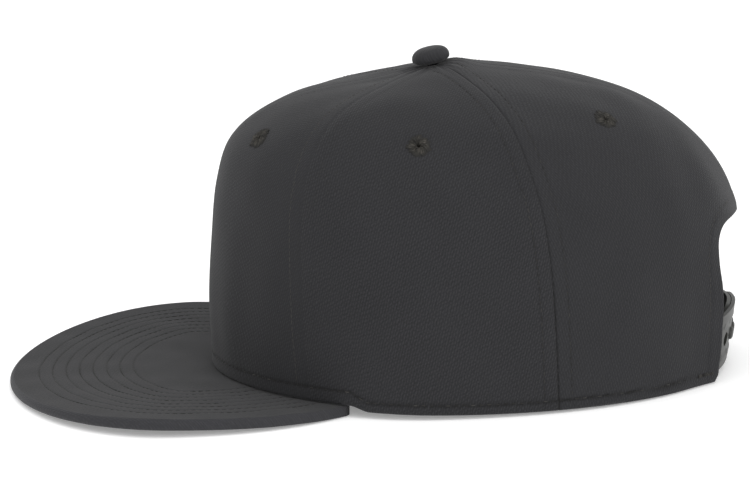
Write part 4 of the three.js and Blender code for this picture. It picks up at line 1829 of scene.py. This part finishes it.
@dataclass
class Sweatband:
    """The band inside the rim, which steps in over the strap's tabs near the opening."""

    form: CrownForm
    height: float = 32.0
    wall: float = 1.2
    rim_inset: float = 1.0
    end_margin: float = 2.0
    step_in: float = 15.0
    tab: float = 14.0
    binding_wall: float = 1.2
    strap_wall: float = 1.5
    gap: float = 0.3
    around: int = 300
    up: int = 22

    def shape(self) -> Shape:
        """The band as a wall whose inner face is padded: it swells by half a sine.

        Returns:
            The band.
        """
        form = self.form
        plain = form.wall + self.gap
        over = form.wall + self.binding_wall + 2 * self.strap_wall + 4 * self.gap
        end = float(form.turn_at(form.opening_half_width + self.end_margin, self.height / 2))
        turn = np.linspace(-end, end, self.around)[None]
        middle = form.level_at(turn, np.full(turn.shape, self.height / 2))
        out = form.skin(turn, middle)
        tabs = form.opening_half_width + self.tab + self.gap
        aside = smooth_step(tabs + self.step_in, tabs, np.abs(out[..., 0])) * (out[..., 1] > 0)
        depth = between(plain, over, aside)
        share = graded(self.up, 0.4, 0.4, 0.1)[:, None]
        height = form.rim_height(turn) + self.rim_inset + share * self.height
        turn = turn + 0 * share
        level = form.level_at(turn, height)
        depth = depth + 0 * share
        pad = 0.5 * np.sin(np.pi * share) ** 0.5 - 0.15 * bell((share - 0.12) * self.height, 0.7)
        made = form.lining(turn, level, depth, self.wall + pad)
        run = lengths_of(out[0])
        grain = np.stack([run[None] + 0 * share, share * self.height + 0 * turn, 0 * turn], -1)
        return made.dress(grain).outward()

    def build(self, cloth: bpy.types.Material) -> None:
        """Makes the band."""
        put("cloth_sweatband", self.shape(), cloth, ("sweatband",))


@dataclass
class OpeningBinding:
    """The tape that hems the arch of the opening on its inside."""

    crown: Crown
    width: float = 9.0
    wall: float = 1.2
    rim_inset: float = 1.0
    gap: float = 0.3
    flat_share_and_row_shade_fade: float = 0.8  # how much of its wall is left where it is sewn flat

    def shape(self) -> Shape:
        """A strip that follows the opening's edge on the last part of the panels' rows.

        Returns:
            The tape.
        """
        form = self.crown.form
        ends = self.crown.back_rows(np.linspace(0, 1, 70))
        start_turn, start_level, end_turn, end_level = (v[:, None] for v in ends)
        span = np.linalg.norm(
            form.skin(start_turn, start_level) - form.skin(end_turn, end_level), axis=-1
        )
        reach = np.minimum(self.width / span, 0.45)
        share = 1 - reach * np.linspace(0, 1, 9)[None]
        turn = between(start_turn, end_turn, share)
        level = between(start_level, end_level, share)
        lowest = np.full(turn.shape, form.back_rim_lift + self.rim_inset)
        level = np.maximum(level, form.level_at(turn, lowest))
        turn = np.concatenate([turn, -turn[-2::-1]])
        level = np.concatenate([level, level[-2::-1]])
        depth = form.wall + self.gap
        made = form.lining(turn, level, np.array(depth), np.array(self.wall * self.flat_share_and_row_shade_fade))
        run = np.arange(len(turn))[:, None] * 1.1 + 0 * turn
        grain = np.stack([np.linspace(0, self.width, 9)[None] + 0 * turn, run, 0 * turn], -1)
        return made.dress(grain).outward()

    def build(self, tape: bpy.types.Material) -> None:
        """Makes the binding."""
        put("tape_opening_binding", self.shape(), tape, ("opening_binding",))


@dataclass
class SnapClosure:
    """The two halves of the strap: holes in the outer one, pegs on the inner one."""

    form: CrownForm
    height: float = 22.0
    wall: float = 1.5
    rim_inset: float = 1.2
    lean: float = 0.9
    bow: float = 1.7
    draw_in: float = 1.4
    rail: float = 4.6
    rail_rise: float = 0.45
    tab: float = 14.0
    pitch: float = 9.0
    count: int = 6
    closed: int = 4
    hole_radius: float = 2.8
    peg_clearance: float = 0.35
    peg_dome: float = 0.9
    tip_margin: float = 0.6
    tip_round: float = 8.0
    tip_narrowing: float = 0.55
    step_start: float = 1.5
    step_end: float = 11.0
    binding_wall: float = 1.2
    gap: float = 0.3
    bevel: float = 0.3
    bevel_degrees: float = 50.0
    peg_around: int = 28
    upright: int = 24
    level_parts: int = 8

    @property
    def low(self) -> float:
        """The height of the strap's lower edge."""
        return self.form.back_rim_lift + self.rim_inset

    @property
    def overlap(self) -> float:
        """How far each strap's last closed snap lies past the middle."""
        return (self.closed - 1) / 2 * self.pitch

    @property
    def tip(self) -> float:
        """How far past the middle each strap's tip reaches."""
        return self.overlap + self.pitch - (self.hole_radius - self.peg_clearance) - self.tip_margin

    def half_height(self, x: Array) -> Array:
        """Half the strap's height at a place, which narrows to its tip."""
        share = np.clip(1 - (self.tip + x) / self.tip_round, 0, 1)
        return self.height / 2 * np.sqrt(1 - self.tip_narrowing * share**2)

    def on_back(self, x: Array, z: Array, depth: Array) -> Array:
        """A point of the strap's run, whose upper edge leans out in the middle of the opening.

        Args:
            x: The place across the back.
            z: The height.
            depth: The depth below the crown's skin.

        Returns:
            The point.
        """
        from_foot = 1 - np.clip(np.abs(x) / self.form.opening_half_width, 0, 1)
        bowed = 1 - (1 - from_foot) ** 2
        z = z + self.bow * bowed
        turn = self.form.turn_at(x, z)
        lean = self.lean * from_foot * ((z - self.low) / self.height - 0.5) - self.draw_in * bowed
        return self.form.point(turn, self.form.level_at(turn, z), lean - depth)

    def depth(self, side: Side, x: Array) -> Array:
        """How deep a half lies: the one with pegs steps in behind the other one's tip.

        Args:
            side: The half.
            x: The place along it.

        Returns:
            The depth.
        """
        outer = self.form.wall + self.binding_wall + 2 * self.gap
        if side is Side.LEFT:
            return np.full(np.shape(x), outer)
        step = smooth_step(self.tip + self.step_end, self.tip + self.step_start, x)
        return outer + (self.wall + self.gap) * step

    def layout(self, holes: bool) -> tuple[Array, Array]:
        """The strap laid flat, (x, z) with z from its middle: a patch round each snap and
        plain parts at its tip and its tab.

        Args:
            holes: Whether the patches are open in their middle.

        Returns:
            Welded points and quads.
        """
        parts, faces, start = [], [], 0
        ups = np.linspace(-1, 1, self.upright + 1)
        first = -self.overlap - self.pitch / 2
        last = first + self.count * self.pitch
        tab_end = self.form.opening_half_width + self.tab
        plain = [np.linspace(-self.tip, first, 4), np.linspace(last, tab_end, 12)]
        for xs in plain:
            points = np.stack([xs[:, None] + 0 * ups, self.half_height(xs)[:, None] * ups], -1)
            index = np.arange(points.size // 2).reshape(len(xs), -1) + start
            parts.append(points.reshape(-1, 2))
            faces.append(grid_quads(index))
            start += points.size // 2
        flat = np.linspace(-1, 1, self.level_parts + 1)
        square = np.concatenate([
            np.stack([flat[:-1], -np.ones(self.level_parts)], -1),
            np.stack([np.ones(self.upright), ups[:-1]], -1),
            np.stack([flat[:0:-1], np.ones(self.level_parts)], -1),
            np.stack([-np.ones(self.upright), ups[:0:-1]], -1),
        ])
        turn = np.arctan2(square[:, 1], square[:, 0])
        shares = np.array([0, 0.08, 0.25, 0.4, 0.5, 0.6, 0.7, 0.85, 1.0])[:, None]
        for i in range(self.count):
            centre = self.pitch * i - self.overlap
            x = centre + square[:, 0] * self.pitch / 2
            rim = np.stack([x, square[:, 1] * self.half_height(x)], -1)
            circle = np.stack([np.cos(turn), np.sin(turn)], -1) * self.hole_radius + [centre, 0]
            rings = between(circle, rim, shares[..., None])
            if not holes:
                inner = [centre, 0] + (circle - [centre, 0]) * np.array([0.02, 0.5])[:, None, None]
                rings = np.concatenate([inner, rings])
            index = np.arange(rings.size // 2).reshape(len(rings), -1) + start
            faces.append(grid_quads(np.concatenate([index, index[:, :1]], 1)))
            if not holes:
                faces.append(ladder_quads(index[0]))
            parts.append(rings.reshape(-1, 2))
            start += rings.size // 2
        points = np.concatenate(parts)
        quads = np.concatenate(faces)
        _, keep, where = np.unique(
            np.round(points, 4), axis=0, return_index=True, return_inverse=True
        )
        quads = where.ravel()[quads]
        points = points[keep]
        a, b, c, d = (points[quads[:, k]] for k in range(4))
        turned = np.cross(c - a, d - b) < 0
        quads[turned] = quads[turned][:, ::-1]
        return points, quads

    def plate(self, side: Side) -> Shape:
        """A half of the strap as a wall between its two faces.

        Args:
            side: The half.

        Returns:
            The wall.
        """
        points, quads = self.layout(side is Side.LEFT)
        x, z = points[:, 0], points[:, 1] + self.low + self.height / 2
        depth = self.depth(side, x)
        recess = smooth_step(0.5, -0.5, np.abs(points[:, 1]) - self.height / 2 + self.rail)
        recess = recess * smooth_step(0, -3, x - self.form.opening_half_width)
        outer = self.on_back(side.value * x, z, depth + self.rail_rise * recess)
        inner = self.on_back(side.value * x, z, depth + self.wall)
        edges = np.concatenate([quads[:, [k, (k + 1) % 4]] for k in range(4)])
        _, first, counts = np.unique(
            np.sort(edges, 1), axis=0, return_index=True, return_counts=True
        )
        rim = edges[first[counts == 1]]
        n = len(points)
        walls = np.stack([rim[:, 0], rim[:, 0] + n, rim[:, 1] + n, rim[:, 1]], -1)
        faces = np.concatenate([quads, quads[:, ::-1] + n, walls])
        return Shape(np.concatenate([outer, inner]), faces).outward()

    def pegs(self) -> Shape:
        """Studs with rounded heads that stand out through the other half's holes.

        Returns:
            The pegs.
        """
        radius = self.hole_radius - self.peg_clearance
        length = 2 * self.wall + self.gap + self.peg_dome
        t = np.linspace(0, np.pi / 2, 7)
        dome = np.stack([radius * np.cos(t) ** 0.7, length - self.peg_dome * (1 - np.sin(t))], -1)
        foot_ring = [[radius, self.wall * 0.5], [radius, length - self.peg_dome]]
        profile = np.concatenate([foot_ring, dome[1:-1]])
        angle = 2 * np.pi * np.arange(self.peg_around) / self.peg_around
        made = []
        mid = np.array(self.low + self.height / 2)
        for i in range(self.count):
            x = np.array(self.pitch * i - self.overlap)
            foot = self.on_back(-x, mid, self.depth(Side.RIGHT, x) + self.wall)
            turn = self.form.turn_at(-x, mid)
            normal = self.form.normal(turn, self.form.level_at(turn, mid))
            across = unit(np.cross([0, 0, 1], normal))
            up = np.cross(normal, across)
            ring = across * np.cos(angle)[:, None] + up * np.sin(angle)[:, None]
            wide, high = profile.T[:, :, None, None]
            points = foot + high * normal + wide * ring
            top = foot + length * normal
            base = foot + self.wall * 0.5 * normal
            count = len(profile) * self.peg_around
            index = np.arange(count).reshape(-1, self.peg_around)
            tris = np.concatenate([fan(count, index[-1]), fan(count + 1, index[0])[:, ::-1]])
            shape = Shape(np.concatenate([points.reshape(-1, 3), [top, base]]),
                          tube_quads(len(profile), self.peg_around), tris)
            made.append(shape.outward())
        return joined(made)

    def build(self, plastic: bpy.types.Material) -> None:
        """Makes both halves, their edges softened by a bevel.

        Args:
            plastic: Their finish.
        """
        halves = {
            "strap_with_holes": self.plate(Side.LEFT),
            "strap_with_pegs": joined([self.plate(Side.RIGHT), self.pegs()]),
        }
        for node, shape in halves.items():
            piece = put(f"moulded_{node}", shape, plastic, (node,))
            bevel = piece.modifiers.new("soft_edges", "BEVEL")
            bevel.width = self.bevel * MM
            bevel.segments = 2
            bevel.limit_method = "ANGLE"
            bevel.angle_limit = math.radians(self.bevel_degrees)


@dataclass(frozen=True)
class Studio:
    """A pale floor, soft light from above and the camera that sees the cap's left side."""

    distance: float = 1700.0  # mm from the crown's axis at the rim
    elevation_degrees: float = 14.0
    pixels_per_mm: float = 2.53  # at the crown's axis
    axis_pixel: tuple[float, float] = (432.2, 363.9)
    picture: tuple[float, float] = (750.0, 486.0)
    floor_half: float = 6.0  # metres from its middle to its edge
    floor_glow: float = 0.25
    sky: float = 0.85
    aim: tuple[float, float, float] = (0, 0, 0.06)

    def camera(self) -> None:
        """The camera, aimed so that the crown's axis falls on its place in the picture."""
        e = math.radians(self.elevation_degrees)
        back = Vector((math.cos(e), 0, math.sin(e)))
        right = Vector((0, 1, 0))
        up = back.cross(right)
        focal = self.pixels_per_mm * self.distance
        aside = (self.picture[0] / 2 - self.axis_pixel[0]) / focal
        above = (self.axis_pixel[1] - self.picture[1] / 2) / focal
        look = (-back + aside * right + above * up).normalized()
        side = look.cross(up).normalized()
        top = side.cross(look)
        turn = Matrix((side, top, -look)).transposed().to_4x4()
        place = Matrix.Translation(back * self.distance)
        camera = bpy.data.cameras.new("camera")
        camera.lens = camera.sensor_width * focal / self.picture[0]
        camera.clip_start, camera.clip_end = 0.05, 30
        seen = bpy.data.objects.new("camera", camera)
        world = RESTING.matrix() @ place @ turn
        world.translation *= MM
        seen.matrix_world = world
        bpy.context.scene.collection.objects.link(seen)
        bpy.context.scene.camera = seen

    def floor(self) -> None:
        """A large pale floor of opal acrylic lit from below: white, so that the cap's shadow
        on it stays pale."""
        size = self.floor_half
        mesh = bpy.data.meshes.new("floor")
        corners = [(-size, -size, 0), (size, -size, 0), (size, size, 0), (-size, size, 0)]
        mesh.from_pydata(corners, [], [(0, 1, 2, 3)])
        material, tree = new_material("backlit_opal_acrylic")
        surface = add(tree, "BsdfPrincipled", inputs={
            "Base Color": linear("#f7f7f7"), "Roughness": 0.95, "Specular IOR Level": 0.1,
            "Emission Color": linear("#ffffff"), "Emission Strength": self.floor_glow,
        })
        add(tree, "OutputMaterial", inputs={"Surface": surface})
        mesh.materials.append(material)
        floor = bpy.data.objects.new("floor", mesh)
        bpy.context.scene.collection.objects.link(floor)

    def lamp(self, name: str, place: tuple, size: float, power: float) -> None:
        """A square soft lamp aimed at the cap.

        Args:
            name: Its name.
            place: Where it stands, in metres.
            size: Its side, in metres.
            power: Its power in watts.
        """
        light = bpy.data.lights.new(name, "AREA")
        light.shape = "SQUARE"
        light.size = size
        light.energy = power
        lamp = bpy.data.objects.new(name, light)
        way = (Vector(self.aim) - Vector(place)).to_track_quat("-Z", "Y")
        lamp.matrix_world = Matrix.Translation(place) @ way.to_matrix().to_4x4()
        bpy.context.scene.collection.objects.link(lamp)

    def light(self) -> None:
        """An even pale sky and soft lamps."""
        world = bpy.data.worlds.new("studio")
        bpy.context.scene.world = world
        world.use_nodes = True
        sky = world.node_tree.nodes["Background"]
        sky.inputs["Color"].default_value = linear("#ffffff")
        sky.inputs["Strength"].default_value = self.sky
        self.lamp("overhead", (0.2, 0.0, 1.6), 1.4, 8)
        self.lamp("side_fill", (1.7, 0.5, 0.5), 1.2, 8)
        self.lamp("back_fill", (0.9, 1.6, 0.35), 1.0, 4.5)
        bpy.context.scene.view_settings.view_transform = "Standard"

    def build(self) -> None:
        """Sets up the camera, the floor and the light."""
        self.camera()
        self.floor()
        self.light()


def main() -> None:
    """Builds the cap piece by piece."""
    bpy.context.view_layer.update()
    Studio().build()
    form = CrownForm()
    sewing = Sewing(form).prepare()
    crown_twill = Twill("crown_cotton_twill").make()
    visor_twill = Twill("visor_cotton_twill", colour="#222224").make()
    # Painted light: the button's twill is a lighter copy of the crown's, for the light on the
    # button's top.
    button_twill = Twill("button_cotton_twill", colour="#2b2b2d").make()
    band_twill = Twill("sweatband_cotton_twill", colour="#202022").make()
    tape_twill = Twill("seam_tape_twill", colour="#1d1d1e", wale=0.8).make()
    thread = SewingThread("sewing_thread").make()
    embroidery = SewingThread("embroidery_thread", dark="#1e1d1b", light="#4d4a44", bias=1.2)
    plastic = MouldedPlastic("moulded_polyethylene").make()
    crown = Crown(form, sewing)
    crown.build(crown_twill, thread, tape_twill)
    Eyelet(form, sewing).build(embroidery.make())
    TopButton(form).build(button_twill)
    Visor(form).build(visor_twill, thread)
    Sweatband(form).build(band_twill)
    OpeningBinding(crown).build(tape_twill)
    SnapClosure(form).build(plastic)


if __name__ == "__main__":
    logging.basicConfig(level=logging.INFO, format="%(name)s %(message)s")
    main()
